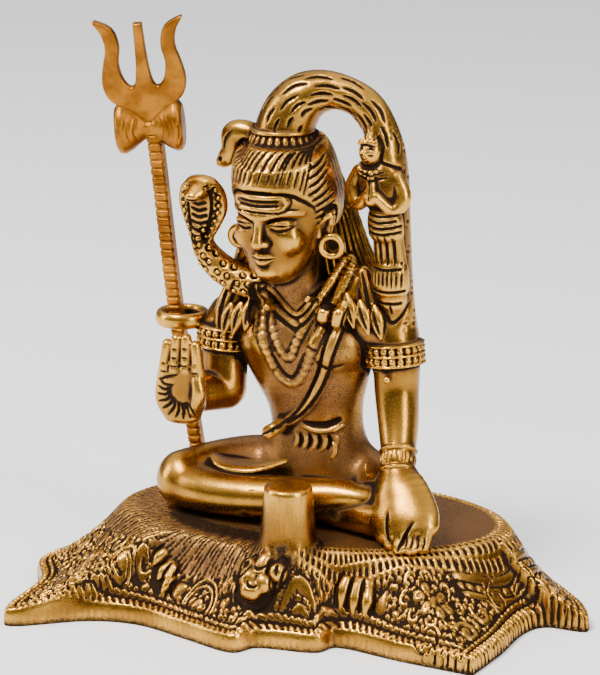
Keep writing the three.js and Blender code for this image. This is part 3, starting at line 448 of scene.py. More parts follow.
def mesh_from(points, faces, name):
    mesh = bpy.data.meshes.new(name)
    sides = faces.shape[1]
    mesh.vertices.add(len(points))
    mesh.vertices.foreach_set("co", np.asarray(points, np.float32).ravel())
    mesh.loops.add(faces.size)
    mesh.loops.foreach_set("vertex_index", faces.astype(np.int32).ravel())
    mesh.polygons.add(len(faces))
    mesh.polygons.foreach_set("loop_start", np.arange(0, faces.size, sides, dtype=np.int32))
    mesh.update(calc_edges=True)
    mesh.validate()
    return mesh


def points_of(mesh):
    points = np.empty(3 * len(mesh.vertices), np.float32)
    mesh.vertices.foreach_get("co", points)
    return points.reshape(-1, 3).astype(float)


def thinned(mesh, triangles):
    """The mesh with about `triangles` triangles, the most where it curves."""
    mesh.calc_loop_triangles()
    share = triangles / max(1, len(mesh.loop_triangles))
    if share >= 1:
        return mesh
    holder = bpy.data.objects.new("holder", mesh)
    bpy.context.scene.collection.objects.link(holder)
    fewer = holder.modifiers.new("fewer", "DECIMATE")
    fewer.ratio = share
    made = bpy.data.meshes.new_from_object(holder.evaluated_get(bpy.context.evaluated_depsgraph_get()))
    bpy.data.objects.remove(holder)
    return made


def piece_from(clay, name, node, material, triangles, place, marks):
    """The clay as a Blender object that stands for a node. `marks` names the attributes to paint on it."""
    points, quads = surface_of(clay)
    mesh = thinned(mesh_from(points, quads, name), triangles)
    spots = points_of(mesh)
    for label, values in marks(clay, spots).items():
        layer = mesh.attributes.new(label, "FLOAT", "POINT")
        layer.data.foreach_set("value", np.asarray(values, np.float32))
    mesh.vertices.foreach_set("co", (place(spots) / 1000).astype(np.float32).ravel())
    mesh.polygons.foreach_set("use_smooth", np.ones(len(mesh.polygons), bool))
    mesh.update()
    mesh.name = name
    piece = bpy.data.objects.new(name, mesh)
    bpy.context.scene.collection.objects.link(piece)
    mesh.materials.append(material)
    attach(piece, "root")
    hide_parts(node)
    return piece


def seated(points):
    """From the figure's frame to the object's, in mm."""
    seat = 1000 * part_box("figure")[0][2] - SEAT_GAP
    turn = math.radians(-FIGURE_TURN)
    x, y, z = points.T
    return np.stack([x * math.cos(turn) - y * math.sin(turn) + FIGURE_SPOT[0],
                     x * math.sin(turn) + y * math.cos(turn) + FIGURE_SPOT[1], z + seat + SEAT_GAP], axis=1)


def as_they_are(points):
    return points


# The figure

TORSO = [
    (1, 8, 0, 24, 15), (1, 8, 8, 22, 14), (1.2, 7.5, 16, 18.5, 12), (1.3, 7, 22, 16, 10.5),
    (1.2, 6.5, 28, 15, 10), (0.5, 6, 36, 16, 10.5), (-0.5, 5, 44, 19, 11.5), (-1.5, 4.5, 52, 22, 12),
    (-2.5, 5, 58, 22.5, 11.5), (-3.5, 5, 64, 17.5, 10), (-4.5, 4, 69, 10.5, 8.8), (-5, 2.5, 75, 8.2, 8),
    (-5, 2, 84, 8, 8),
]


def sculpt_body(clay):
    clay.limb(TORSO, level=Z, soft=2, ends=(0.1, 0.3))
    for x in (-11.5, 10):
        clay.ball((x, -1, 55), (8.5, 6.4, 6.4), soft=4)


def sculpt_legs(clay):
    clay.limb([(-10, 8, 9.5, 11, 10), (-20, 5, 9.7, 11, 10), (-29.6, -2, 9.2, 10.5, 9.6),
               (-37.4, -9.5, 8.6, 9.4, 8.6)], side=Z, soft=3)
    clay.limb([(12, 8, 9.5, 11, 10), (22, 5, 9.4, 10.5, 9.6), (31, -4, 8.6, 9.6, 9),
               (38, -14, 7.4, 8, 7.2)], side=Z, soft=3)
    clay.limb([(38.5, -16, 6.2, 6.2, 6.6), (28, -13, 6, 6, 6.6), (16, -9.5, 6, 6, 6.4), (4, -6, 6, 5.6, 6)],
              side=Z, soft=1)
    clay.limb([(-36.6, -10.5, 8.2, 7.6, 8), (-26, -13.5, 7.6, 7.2, 8), (-12, -14, 8, 6.8, 7.6),
               (2, -13.5, 9.2, 6, 6.6), (14, -12.5, 10.8, 5.2, 5.6), (23, -12, 11.6, 3.8, 5),
               (29, -11, 11.2, 2.6, 4)], side=Z, soft=1.2)
    clay.limb([(-29, -7, 17.2, 1.2, 0.7), (-22, -9.5, 15.6, 5, 1.4), (-12, -9.5, 15.8, 5.5, 1.5),
               (-3.5, -7.5, 18, 1.5, 0.8)], side=Y, soft=0.5)


def fingers(clay, knuckles, tips, a, b):
    for knuckle, tip in zip(knuckles, tips):
        clay.limb([(*knuckle, a, b), (*tip, 0.85 * a, 0.85 * b)], soft=0.6, steps=2)


def sculpt_left_arm(clay):
    clay.limb([(20, 6, 61, 9, 8.5), (25, 6, 58.6, 8.6, 8.6), (26.9, 5.3, 55.2, 8.2), (27.4, 5, 51.6, 7.8),
               (28.2, 4.7, 47.4, 7.2), (28.6, 4, 41, 6.8, 7), (30.5, 0.5, 32, 6.2, 6.4),
               (32.2, -3.8, 24.9, 5.4, 5.6), (33.6, -7.6, 18.8, 5.6, 5.2), (36.6, -12.2, 14.5, 8.4, 5),
               (39.8, -17, 8.6, 10.2, 5), (41.2, -19.4, 5.2, 10, 4.6)], soft=1.5)
    fingers(clay, [(34.4, -18.6, 7.4), (38.8, -19.8, 6.4), (43.2, -19.8, 6.4), (47.2, -18.6, 7.4)],
            [(37, -22.4, 1.6), (40.4, -24, 1), (44, -23.6, 1.2), (47, -22, 2)], 2.5, 2.8)


def sculpt_right_arm(clay):
    clay.limb([(-20, 6, 61, 9, 8), (-26.6, 5.6, 58, 8.6, 8.2), (-28.7, 4.6, 52.6, 8), (-29, 4.1, 49.2, 7.4),
               (-27.6, 0.5, 37.4, 6.8, 6.6)], soft=1.5)
    clay.limb([(-27.8, 0.5, 36.4, 6.6, 6.4), (-31, -7, 36.8, 5.8, 5.8), (-33.6, -13, 37.4, 5, 5.4)], soft=1)
    clay.limb([(-34.8, -15.2, 31, 6.4, 2.4), (-35.2, -15.6, 36, 8.6, 2.8), (-34.8, -15.8, 42, 8.4, 2.8),
               (-34.4, -16, 47, 7.6, 2.6)], soft=1)
    fingers(clay, [(-40.2, -16.2, 46), (-36.4, -16.5, 46.5), (-32.6, -16.5, 46.5), (-28.8, -16.2, 45.5)],
            [(-39.2, -16.2, 54), (-36, -16.4, 56), (-32.7, -16.4, 56.4), (-29.6, -16.2, 54.4)], 1.95, 2.2)
    clay.limb([(-30, -16.8, 34, 2), (-28, -17.6, 39, 2.3), (-28.6, -17.4, 43.5, 1.8)], soft=0.6)


# What the god wears, laid on the chest from the front

def on_front(places, y=-8):
    return [(x, y, z) for x, z in places]


def front_cut(clay, places, width, depth, y=-9, reach=9, **options):
    """Carves a line through (x, z) into the surface met from the front, within `reach` mm of y."""
    clay.stroke(on_front(places, y), width, depth, reach=reach, **options)


def ridges(pitch, depth):
    """Narrow grooves across a cord, `pitch` mm apart."""
    return lambda angle, way: -depth * np.abs(np.cos(np.pi * way / pitch)) ** 13


def cord(clay, places, width, pitch, depth=0.35, channel=0.9):
    """A cord in a channel that sets it off, with grooves across it unless `pitch` is 0."""
    clay.stroke(places, width + 2 * channel, 0.7, taper=False, soft=0.3)
    clay.stroke(places, width, 1.2, cut=False, taper=False, relief=ridges(pitch, depth) if pitch else None)


def strap(clay, places, width, proud):
    """A flat strap between two dark lines."""
    clay.stroke(places, width, proud, cut=False, taper=False)
    for hand in (-1, 1):
        line = [(x + hand * 0.46 * width, y, z + hand * 0.2 * width) for x, y, z in places]
        clay.stroke(line, 1.3, 0.9, reach=9)


RISERS = [((4.4, -3.6, 67), (8, 0, 74), (10.9, 3.5, 80.5), 1.4, 1.8),
          ((9.3, 0.4, 67.5), (11.8, 1.8, 73.5), (13.6, 4, 79), 1.9, 1.9),
          ((14.2, 1, 68), (15.6, 2.4, 73), (16.4, 4, 77), 2, 9)]


def sculpt_garments(clay):
    """Two garlands, a neck plate and a sash. Each garland rises beside the neck to the hair."""
    for low, middle, high, size, pitch in RISERS:
        clay.limb([(*low, size), (*middle, size), (*high, size)], soft=0.2, relief=ridges(pitch, 0.5))
    cord(clay, on_front([(4.6, 67.4), (2.4, 62), (-0.3, 56), (-2, 51.5), (-4.6, 52.5), (-9, 61),
                         (-11.8, 70)]), 3.0, pitch=2.3, depth=0.5, channel=1.1)
    cord(clay, on_front([(9.4, 67.9), (7.6, 61), (5.2, 55), (1.4, 45.5), (-2.5, 43), (-7.5, 47),
                         (-11.5, 57), (-13, 68), (-13, 72)]), 3.9, pitch=2.4, depth=0.6, channel=1.3)
    cord(clay, on_front([(4.6, 69), (0, 62.6), (-5.6, 66), (-11.6, 72)]), 2.8, pitch=1.2, depth=0.4)
    strap(clay, on_front([(14.4, 68), (13.4, 64), (10.8, 54), (8, 46), (4.2, 38.6), (-1.6, 31.8),
                          (-9.4, 26.6)]), 4.4, 1.1)
    cord(clay, on_front([(-12, 70), (-7, 65), (-1, 61.5)], y=-9), 2.4, pitch=0)
    cord(clay, on_front([(4.4, 71), (2, 67), (-1, 64.5), (-5, 67), (-10, 72)]), 1.6, pitch=0, channel=0.6)
    sculpt_belt(clay)
    clay.hoop((13.6, -4.8, 56.6), (0.2, -1, 0), 1.5, 0.45, soft=0.2)
    clay.ball((13.6, -4.9, 56.6), (0.6, 0.6, 0.6), soft=0.2)
    clay.stroke(on_front([(6.5, 51), (10.5, 49.2), (15, 50.5)]), 1, 0.4)


def sculpt_belt(clay):
    """A sagging fold over a dark slot, and a row of curled tassels below it."""
    clay.stroke(on_front([(0.8, 30.2), (5, 29.6), (9.4, 30.2), (15.2, 33.6)]), 2.2, 1, reach=8)
    clay.stroke(on_front([(0.2, 29), (4, 27.8), (8.4, 27.8), (12.4, 29.6), (15.8, 32.4)]), 1.7, 0.8,
                cut=False, soft=0.2, reach=8)
    for i in range(6):
        x = -2.2 + 3 * i
        clay.stroke(on_front([(x, 26.6), (x + 1, 24.8), (x + 0.6, 22.6), (x - 0.6, 21.4)], y=-9), 1.9, 0.6,
                    cut=False, soft=0.2, reach=8)
        clay.stroke(on_front([(x + 1.7, 26.6), (x + 2.2, 24.2), (x + 1.5, 21.6)], y=-9), 1.2, 0.9, reach=8)


def place_on_ring(centre, normal, radius, degrees):
    """A place on a circle, by degrees from its front."""
    turn = math.radians(degrees)
    front = unit(-Y - np.dot(-Y, normal) * normal)
    side = np.cross(normal, front)
    return np.asarray(centre) + radius * (math.cos(turn) * front + math.sin(turn) * side)


def armlet(clay, centre, normal, radius):
    """Two beaded rows with dark lines round them."""
    normal = unit(normal)
    centre = np.asarray(centre, float)
    for k in (-1, 0, 1):
        clay.hoop(centre + 3.1 * k * normal, normal, radius - 1.1, 1.9, rise=0.55, soft=0.1)
    for k in (-0.5, 0.5):
        clay.hoop(centre + 3.1 * k * normal, normal, radius - 0.9, 1.6, rise=1.2, soft=0.1, beads=22,
                  depth=1.0)


WRIST = ((32.3, -4.1, 24.6), (33.5, -7.1, 19.4))
WRIST_MIDDLE = (32.9, -5.6, 22)


def sculpt_jewels(clay):
    """Armlets on both arms, and a bangle at the left wrist: two rings with bars between them."""
    armlet(clay, (27.2, 5.2, 53), (0.1, -0.05, -1), 8.9)
    armlet(clay, (-28.7, 4.6, 53), (0.05, 0.05, 1), 8.8)
    clay.ball((28.4, -4.2, 46.8), 1.2, soft=0.3)
    normal = unit((1.7, -4.3, -6.1))
    for spot in WRIST:
        clay.hoop(spot, normal, 5.2, 0.85, rise=0.5, soft=0.15)
    for turn in np.arange(-110, 111, 16):
        low, high = (place_on_ring(spot, normal, 12, turn + 3 * k) for k, spot in enumerate(WRIST))
        inwards = np.array(WRIST_MIDDLE) - (low + high) / 2
        clay.stroke([low + 0.18 * (high - low), low + 0.82 * (high - low)], 0.8, 0.45, unit(inwards),
                    cut=False, soft=0.1, reach=12)


def sculpt_palm(clay):
    """The blessing hand's lines: its finger joints, the rays at the heel and the lines across the palm."""
    for x, top in ((-39.6, 54), (-36.2, 56), (-32.7, 56.4), (-29.3, 54.4)):
        for drop in (2.6, 5.4, 8):
            front_cut(clay, [(x - 1.6, top - drop), (x, top - drop - 0.4), (x + 1.6, top - drop)], 0.55,
                      0.35, y=-24, reach=6)
    for i in range(10):
        turn = math.radians(160 + 15.5 * i)
        reach = 8.6 + 1.2 * math.sin(math.radians(20 * i))
        near, middle, far = [(-33.4 + r * math.cos(turn + bend), -22, 40 + r * math.sin(turn + bend))
                             for r, bend in ((3.4, -0.2), (6, 0.08), (reach, 0))]
        clay.stroke([near, middle, far], 0.8, 0.6)
    front_cut(clay, [(-42, 42.6), (-38.6, 44), (-35, 45.2)], 0.8, 0.5, y=-22, reach=6)
    for x in (-38.2, -34.4, -30.9):
        front_cut(clay, [(x, 55), (x, 50), (x + 0.1, 45.5)], 0.8, 0.9, y=-24, reach=6)


def sculpt_left_slots(clay):
    """Deep slots between the left hand's fingers, and fine lines at its tips."""
    for high, low in (((35.6, -30, 13.6), (37.4, -30, 4.5)), ((44, -30, 11.5), (40.6, -30, 2))):
        middle = ((high[0] + low[0]) / 2 - 0.3, -30, (high[2] + low[2]) / 2)
        clay.stroke([high, middle, low], 1.3, 1.2, unit((0, 1, -0.3)), reach=20)
    for i in range(4):
        x = 42.6 + 1.7 * i
        clay.stroke([(x, -32, 6.8), (x + 0.5, -32, 4.2), (x, -32, 2.4)], 0.6, 0.4, unit((0, 1, -0.1)),
                    reach=14)


# The head is laid out in shares of its height, from the chin up, and set on the neck with a slight bow

HEAD_HEIGHT = 38
HEAD_SPOT = (-5.5, 0, 79)
HEAD_TURN = np.array(Matrix.Rotation(math.radians(-5), 3, "Z") @ Matrix.Rotation(math.radians(9), 3, "X"))
SKULL = [
    (0.02, -0.28, 0.11, 0.1), (0.1, -0.22, 0.2, 0.19), (0.21, -0.13, 0.28, 0.29),
    (0.36, -0.05, 0.335, 0.37), (0.52, 0, 0.35, 0.43), (0.68, 0, 0.35, 0.44), (0.84, 0.02, 0.3, 0.38),
    (0.95, 0.04, 0.17, 0.24),
]


def at_head(x, y, z):
    return np.array(HEAD_SPOT) + HEAD_HEIGHT * HEAD_TURN @ (x, y, z)


def head_limb(clay, stations, side=X, level=False, **options):
    rows = [(*at_head(*s[:3]), *(HEAD_HEIGHT * np.array(s[3:]))) for s in stations]
    clay.limb(rows, side=HEAD_TURN @ side, level=HEAD_TURN @ Z if level else None, **options)


def head_ball(clay, centre, sizes, **options):
    clay.ball(at_head(*centre), HEAD_HEIGHT * np.array(sizes), turn=HEAD_TURN.T, **options)


def on_face(x, z, lift=0.0):
    """A place on the face at (x, z), raised by `lift`, in shares of the head."""
    cy, a, b = (np.interp(z, [row[0] for row in SKULL], [row[i] for row in SKULL]) for i in (1, 2, 3))
    return x, cy - b * math.sqrt(max(0.0, 1 - (x / a) ** 2)) - lift, z


def face_line(clay, places, sizes, soft=0.4):
    """Lays a soft ridge on the face through (x, z, lift) in shares of the head."""
    head_limb(clay, [(*on_face(*place), size) for place, size in zip(places, sizes)], soft=soft)


def face_groove(clay, places, width, depth, **options):
    """Carves a line into the face through (x, z) in shares of the head."""
    clay.stroke([at_head(*on_face(x, z, 0.06)) for x, z in places], width, depth, HEAD_TURN @ Y, **options)


def sculpt_tilak(clay):
    """The brow's mark: a raised frame with rounded ends round three bars."""
    loop = [(-0.15, 0.62), (0.15, 0.62), (0.2, 0.635), (0.215, 0.665), (0.2, 0.695), (0.15, 0.71),
            (-0.15, 0.71), (-0.2, 0.695), (-0.215, 0.665), (-0.2, 0.635), (-0.15, 0.62)]
    clay.stroke([at_head(*on_face(x, z, 0.06)) for x, z in loop], 1.5, 0.6, HEAD_TURN @ Y, cut=False,
                taper=False, steps=3)
    for z in (0.645, 0.682):
        face_groove(clay, [(-0.16, z), (0, z), (0.16, z)], 0.75, 0.5, taper=False)
    face_groove(clay, [(x * 1.16, 0.665 + (z - 0.665) * 1.6) for x, z in loop], 0.6, 0.4, taper=False,
                steps=3)


def sculpt_eye(clay, hand):
    """The cheek, the brow, and an eye between its lids."""
    head_ball(clay, on_face(0.17 * hand, 0.34, -0.07), (0.12, 0.1, 0.12), soft=2)
    face_line(clay, [(0.05 * hand, 0.55), (0.16 * hand, 0.585), (0.29 * hand, 0.55)],
              [0.03, 0.04, 0.02], soft=1.2)
    head_ball(clay, on_face(0.16 * hand, 0.49, 0.02), (0.1, 0.06, 0.055), soft=1, cut=True)
    head_ball(clay, on_face(0.16 * hand, 0.485, -0.035), (0.085, 0.06, 0.05), soft=0.3)
    face_line(clay, [(0.075 * hand, 0.483, -0.005), (0.16 * hand, 0.5, 0.012),
                     (0.25 * hand, 0.48, -0.005)], [0.012, 0.02, 0.012], soft=0.2)
    face_line(clay, [(0.08 * hand, 0.47, -0.01), (0.16 * hand, 0.452, 0), (0.24 * hand, 0.468, -0.01)],
              [0.01, 0.014, 0.01], soft=0.3)


def sculpt_ear_and_ring(clay, hand):
    """The ear and the ring in its lobe."""
    head_limb(clay, [(0.355 * hand, 0.03, 0.62, 0.05, 0.03), (0.385 * hand, 0.07, 0.56, 0.075, 0.035),
                     (0.38 * hand, 0.05, 0.44, 0.06, 0.04), (0.365 * hand, 0.02, 0.32, 0.045, 0.04)],
              side=Y, soft=0.6)
    clay.ball(at_head(0.41 * hand, 0.035, 0.2), (2.8, 1.8, 2.8), soft=0.3)
    clay.ball(at_head(0.41 * hand, -0.02, 0.2), (2.3, 1.2, 2.3), soft=0.1, cut=True)
    clay.hoop(at_head(0.41 * hand, -0.02, 0.2), HEAD_TURN @ (0.35, -1, 0), 3.2, 1.1, soft=0.2)


def sculpt_nose_and_mouth(clay):
    head_limb(clay, [(*on_face(0, 0.57, -0.012), 0.03), (*on_face(0, 0.45, 0.02), 0.034),
                     (*on_face(0, 0.36, 0.06), 0.042)], soft=0.9)
    head_ball(clay, on_face(0, 0.335, 0.055), (0.05, 0.05, 0.04), soft=0.7)
    for hand in (-1, 1):
        head_ball(clay, on_face(0.05 * hand, 0.33, 0.025), (0.032, 0.04, 0.03), soft=0.5)
    face_line(clay, [(-0.1, 0.21), (-0.03, 0.226, 0.014), (0, 0.22, 0.014), (0.03, 0.226, 0.014),
                     (0.1, 0.21)], [0.012, 0.024, 0.022, 0.024, 0.012], soft=0.4)
    face_line(clay, [(-0.085, 0.195), (0, 0.172, 0.012), (0.085, 0.195)], [0.012, 0.03, 0.012], soft=0.4)
    head_ball(clay, on_face(0, 0.075, -0.035), (0.09, 0.07, 0.065), soft=1)


def cut_face(clay):
    """The lines round the eyes, the nose and the mouth."""
    for hand in (-1, 1):
        for places, width, depth in (
                ([(0.07, 0.484), (0.16, 0.482), (0.25, 0.478)], 0.7, 0.5),
                ([(0.07, 0.515), (0.16, 0.542), (0.27, 0.51)], 0.7, 0.45),
                ([(0.08, 0.445), (0.16, 0.425), (0.25, 0.45)], 0.6, 0.35),
                ([(0.055, 0.6), (0.16, 0.628), (0.29, 0.585)], 0.7, 0.4),
                ([(0.06, 0.36), (0.088, 0.335), (0.075, 0.305)], 0.7, 0.5)):
            face_groove(clay, [(hand * x, z) for x, z in places], width, depth)
        head_ball(clay, on_face(0.027 * hand, 0.305, 0.035), (0.016, 0.03, 0.012), soft=0.1, cut=True)
    face_groove(clay, [(-0.11, 0.205), (-0.03, 0.2), (0, 0.196), (0.03, 0.2), (0.11, 0.205)], 0.7, 0.6)
    face_groove(clay, [(-0.06, 0.135), (0, 0.125), (0.06, 0.135)], 0.8, 0.3)


def sculpt_head(clay):
    head_limb(clay, [(0, y, z, a, b) for z, y, a, b in SKULL], level=True, soft=2, ends=(0.4, 0.2))
    for hand in (-1, 1):
        sculpt_eye(clay, hand)
        sculpt_ear_and_ring(clay, hand)
    sculpt_nose_and_mouth(clay)
    cut_face(clay)
    sculpt_tilak(clay)


# The hair: a cap, the bun's band, and the stream that arches over and falls behind the shoulder

STREAM = [
    (-8.4, 2, 114.6, 9), (-8.1, 2, 119, 9), (-6, 2.8, 125, 8.4, 8.6), (-2.5, 4, 129.6, 7.6),
    (2, 5.4, 131.6, 6.6), (7.5, 6, 132, 5.4, 5.6), (14, 6.4, 130, 5.2), (18, 6.4, 127, 5.3),
    (21, 6.4, 122.6, 5.5, 5.2), (23.4, 6.2, 116, 6.2, 5.6), (25.2, 6, 107, 6.6, 5.4), (26, 6, 97, 5.6, 5.2),
    (26.6, 6, 85, 5.4, 5.2), (27, 6, 72, 5.8, 5.6), (27.6, 6, 60, 6.4),
]
LOCKS = [(12, 6, 80, 5), (17, 4.5, 77, 5), (-20, 3, 73, -6), (-25, 2.5, 71, -3)]
LEAVES = [(15, -3.5, 72, 3), (19, -2.6, 70, 3.5), (23, -1, 68.5, 3), (-15.5, -5.5, 68, -1.5),
          (-19.5, -4.6, 66, -2), (-23.5, -3, 65, -2)]


def strands(count, depth, wave, back=False):
    """Grooves that run along a body, only round its far side if `back`."""
    def relief(angle, way):
        groove = np.abs(np.cos(angle * count / 2 + wave * np.sin(way / 6))) ** 4
        return -depth * groove * (np.clip(0.2 + 2 * np.sin(angle), 0, 1) if back else 1)
    return relief


def pitted(depth, start):
    """A rough skin past `start` mm along a body."""
    def relief(angle, way):
        pits = np.sin(7 * angle + 1.3 * way) * np.sin(2.1 * way - 5 * angle) > 0.45
        return -depth * pits * np.clip((way - start) / 6, 0, 1)
    return relief


BUN_CENTRE = np.array((-8.3, 2, 117.2))


def sculpt_bun(clay):
    """The band round the bun: a row of upright beads between two lines."""
    for rise in (2.7, -2.7):
        clay.hoop(BUN_CENTRE + rise * Z, Z, 9.3, 0.7, soft=0.2)
    clay.hoop(BUN_CENTRE, Z, 8.9, 1.6, rise=2, soft=0.2, beads=26, depth=1.1)


HAIRLINE = [(-0.345, 0.48), (-0.335, 0.62), (-0.27, 0.735), (-0.12, 0.785), (0.12, 0.785), (0.27, 0.735),
            (0.335, 0.62), (0.345, 0.48)]
HAIR_CENTRE = (-6, 2, 98)


def sculpt_hairline(clay):
    """The hair's edge, rolled over a deep line, and strands combed down to it from the bun."""
    edge = spline(HAIRLINE, 6)
    head_limb(clay, [(*on_face(x, z, 0.012), 0.034) for x, z in edge[::3]], soft=0.5)
    clay.stroke([at_head(*on_face(x, z - 0.03, 0.05)) for x, z in edge[4:-4]], 1.3, 1.1,
                towards=HAIR_CENTRE, steps=2)
    for i in range(18):
        share = i / 17
        turn = math.radians(-84 + 196 * share ** 0.85)
        x, z = edge[int(round(2 + (len(edge) - 11) * share))]
        high = BUN_CENTRE + (10.5 * math.sin(turn), -10.5 * math.cos(turn), -3.6)
        low = at_head(*on_face(x, z + 0.035, 0.1))
        sweep = max(0.0, 3 * share - 1)
        middle = (high + low) / 2
        middle += 3.5 * unit(middle - HAIR_CENTRE) + sweep * np.array((-0.9, 0, 1.3))
        clay.stroke([high, middle, low], 0.75, 0.8, towards=HAIR_CENTRE, reach=9)
    for i in range(9):
        x, z = 0.28 + 0.012 * i, 0.84 - 0.052 * i
        rise = 1 - 0.07 * i
        front = at_head(*on_face(min(x, 0.335), z, 0.05)) + (0.6, 1.0, 0)
        places = [front, front + (2, 2.8, 2 * rise), front + (3, 7, 5 * rise)]
        clay.stroke(places, 1.0, 0.9, towards=HAIR_CENTRE, reach=9)


def sculpt_ear_rims(clay):
    """Long ears in a dark surround, in front of the hair."""
    around = ((-0.16, 0.3), (-0.14, 0.42), (-0.1, 0.52), (0.04, 0.52), (0.08, 0.4), (0.04, 0.28))
    rim = ((-0.07, 0.3), (-0.06, 0.4), (0, 0.46), (0.02, 0.38))
    for hand in (-1, 1):
        clay.stroke([at_head(hand * 0.5, y, z) for y, z in around], 1.6, 1.4, towards=HAIR_CENTRE, reach=9)
        spots = clay.snap([at_head(hand * 0.5, y, z) for y, z in rim], -hand * X, reach=9)
        clay.limb([(*spot, size) for spot, size in zip(spots, (0.9, 0.9, 1.1, 0.9))], soft=0.2)


def sculpt_stream_cuts(clay):
    """Rows of long cuts over the front of the arch, from the bun's band to its top."""
    path = spline([row if len(row) == 5 else (*row, row[3]) for row in STREAM], 8)
    way = np.concatenate([[0], np.cumsum(np.linalg.norm(np.diff(path[:, :3], axis=0), axis=1))])

    def place(along, aside):
        spot = np.array([np.interp(along, way, path[:, i]) for i in range(5)])
        ahead = np.array([np.interp(along + 1, way, path[:, i]) for i in range(3)])
        across = unit(np.cross(ahead - spot[:3], Y))
        return spot[:3] + aside * spot[4] * across - 14 * Y

    for row in range(6):
        start = 7.6 + 8.2 * row - 2 * (row > 0)
        length = 4.4 if row == 0 else 6.6
        for k in range(5):
            aside = -0.76 + 0.37 * k + 0.15 * (row % 2)
            lag = 1.6 * math.sin(2.1 * k + row)
            clay.stroke([place(start + lag, aside), place(start + lag + length / 2, aside + 0.03),
                         place(start + lag + length, aside)], 0.95, 0.9, reach=18)


def sculpt_hair(clay):
    head_limb(clay, [(0, 0.14, 0.42, 0.41, 0.36), (0, 0.1, 0.58, 0.44, 0.43), (0, 0.06, 0.73, 0.43, 0.45),
                     (0, 0.05, 0.82, 0.4, 0.42), (0, 0.03, 0.885, 0.345, 0.365),
                     (0, 0.02, 0.935, 0.27, 0.29)], soft=0.4, relief=strands(46, 0.6, wave=1.2, back=True),
              ends=(0.2, 0.1))
    clay.limb([(-4.5, 11, 104, 12, 6), (-3, 13, 94, 14, 8), (-1.5, 13.5, 82, 17, 8), (0, 13.5, 71, 20, 8),
               (1, 12.5, 60, 21.5, 6.5)], soft=1.5, relief=strands(44, 0.8, wave=1), ends=(1, 0.5))
    clay.limb([(-15, 8, 96, 3.4), (-18.6, 8, 88, 4.4), (-20.4, 7, 80, 5.4), (-22.6, 5, 72, 5)], soft=1,
              relief=strands(12, 0.5, wave=1))
    clay.limb(STREAM, side=Y, soft=0.8, relief=pitted(0.35, 40), ends=(0.1, 0.6))
    sculpt_stream_cuts(clay)
    sculpt_bun(clay)
    clay.limb([(-14, 1.6, 116.2, 3.4), (-20, 1.2, 118, 3.4, 4), (-24, 0.8, 117.4, 3.2, 4),
               (-24.6, 0.6, 113, 3, 3.4), (-26.4, 0.4, 110, 2.8, 2.8), (-28, 0.2, 108.8, 1.8)], side=Y,
              soft=0.3)
    front_cut(clay, [(-14.6, 114), (-19.4, 116.6), (-21.8, 113.6), (-21.6, 110)], 1.2, 0.9, y=-8, reach=12)
    front_cut(clay, [(-23, 119.6), (-25.6, 116.4), (-26.2, 113)], 0.9, 0.5, y=-8, reach=12)
    clay.ball((-27.4, -1.8, 110.2), 0.8, soft=0.1, cut=True)


def sculpt_locks(clay):
    """Flame-shaped locks that lie over both shoulders, each with a deep slot down its middle."""
    for x, y, z, sway in LOCKS:
        clay.limb([(x, y, z, 2.4), (x + 0.8 * sway, y - 3, z - 9, 2.7), (x + 0.9 * sway, y - 5, z - 19, 1)],
                  side=Y, soft=0.3)
        clay.stroke([(x + 0.1 * sway, y - 8, z + 1), (x + 0.75 * sway, y - 10, z - 8),
                     (x + 0.9 * sway, y - 12, z - 16)], 1.2, 0.8, reach=10)
    for x, y, z, lean in LEAVES:
        clay.limb([(x, y, z, 1.0, 0.8), (x + 0.4 * lean, y - 1.2, z - 4, 2.3, 1.4),
                   (x + lean, y - 2, z - 9.5, 0.5)], soft=0.3)
        clay.stroke([(x, y - 7, z - 1), (x + 0.4 * lean, y - 8, z - 4), (x + 0.9 * lean, y - 8, z - 8)],
                    0.9, 0.7, reach=9)


# The river goddess in the fall of the hair

def sculpt_goddess_head(clay):
    """Her head and face under a small crown."""
    clay.ball((20.8, 0.8, 115.4), (3.7, 3.5, 4.2), soft=0.3)
    clay.limb([(20.4, 1.5, 117.8, 3, 2.6), (21, 2.6, 121.6, 1.8), (21.4, 3, 124.4, 0.8)], soft=0.3)
    for k in range(5):
        x = 17.9 + 1.3 * k
        clay.limb([(x, -1.6 + 0.3 * abs(k - 2), 118.2, 0.75),
                   (x + 0.1, -1.2, 120.6 - 0.4 * abs(k - 2), 0.25)], soft=0.1)
    front_cut(clay, [(17.6, 117.4), (20.4, 117.9), (23.2, 117.3)], 0.7, 0.5, y=-8)
    clay.limb([(20.3, -2.6, 115.9, 0.4), (20.2, -3, 114.4, 0.6)], soft=0.3)
    for hand in (-1, 1):
        x = 20.4 + 1.6 * hand
        clay.ball((x, -2.2, 115.5), (0.9, 0.6, 0.5), soft=0.2)
        for z, bend in ((116.5, 0.3), (115.1, -0.3)):
            front_cut(clay, [(x - 0.9, z), (x, z + bend), (x + 0.9, z)], 0.5, 0.45, y=-8)
    front_cut(clay, [(19.2, 113), (20.3, 112.6), (21.4, 113)], 0.6, 0.5, y=-8)


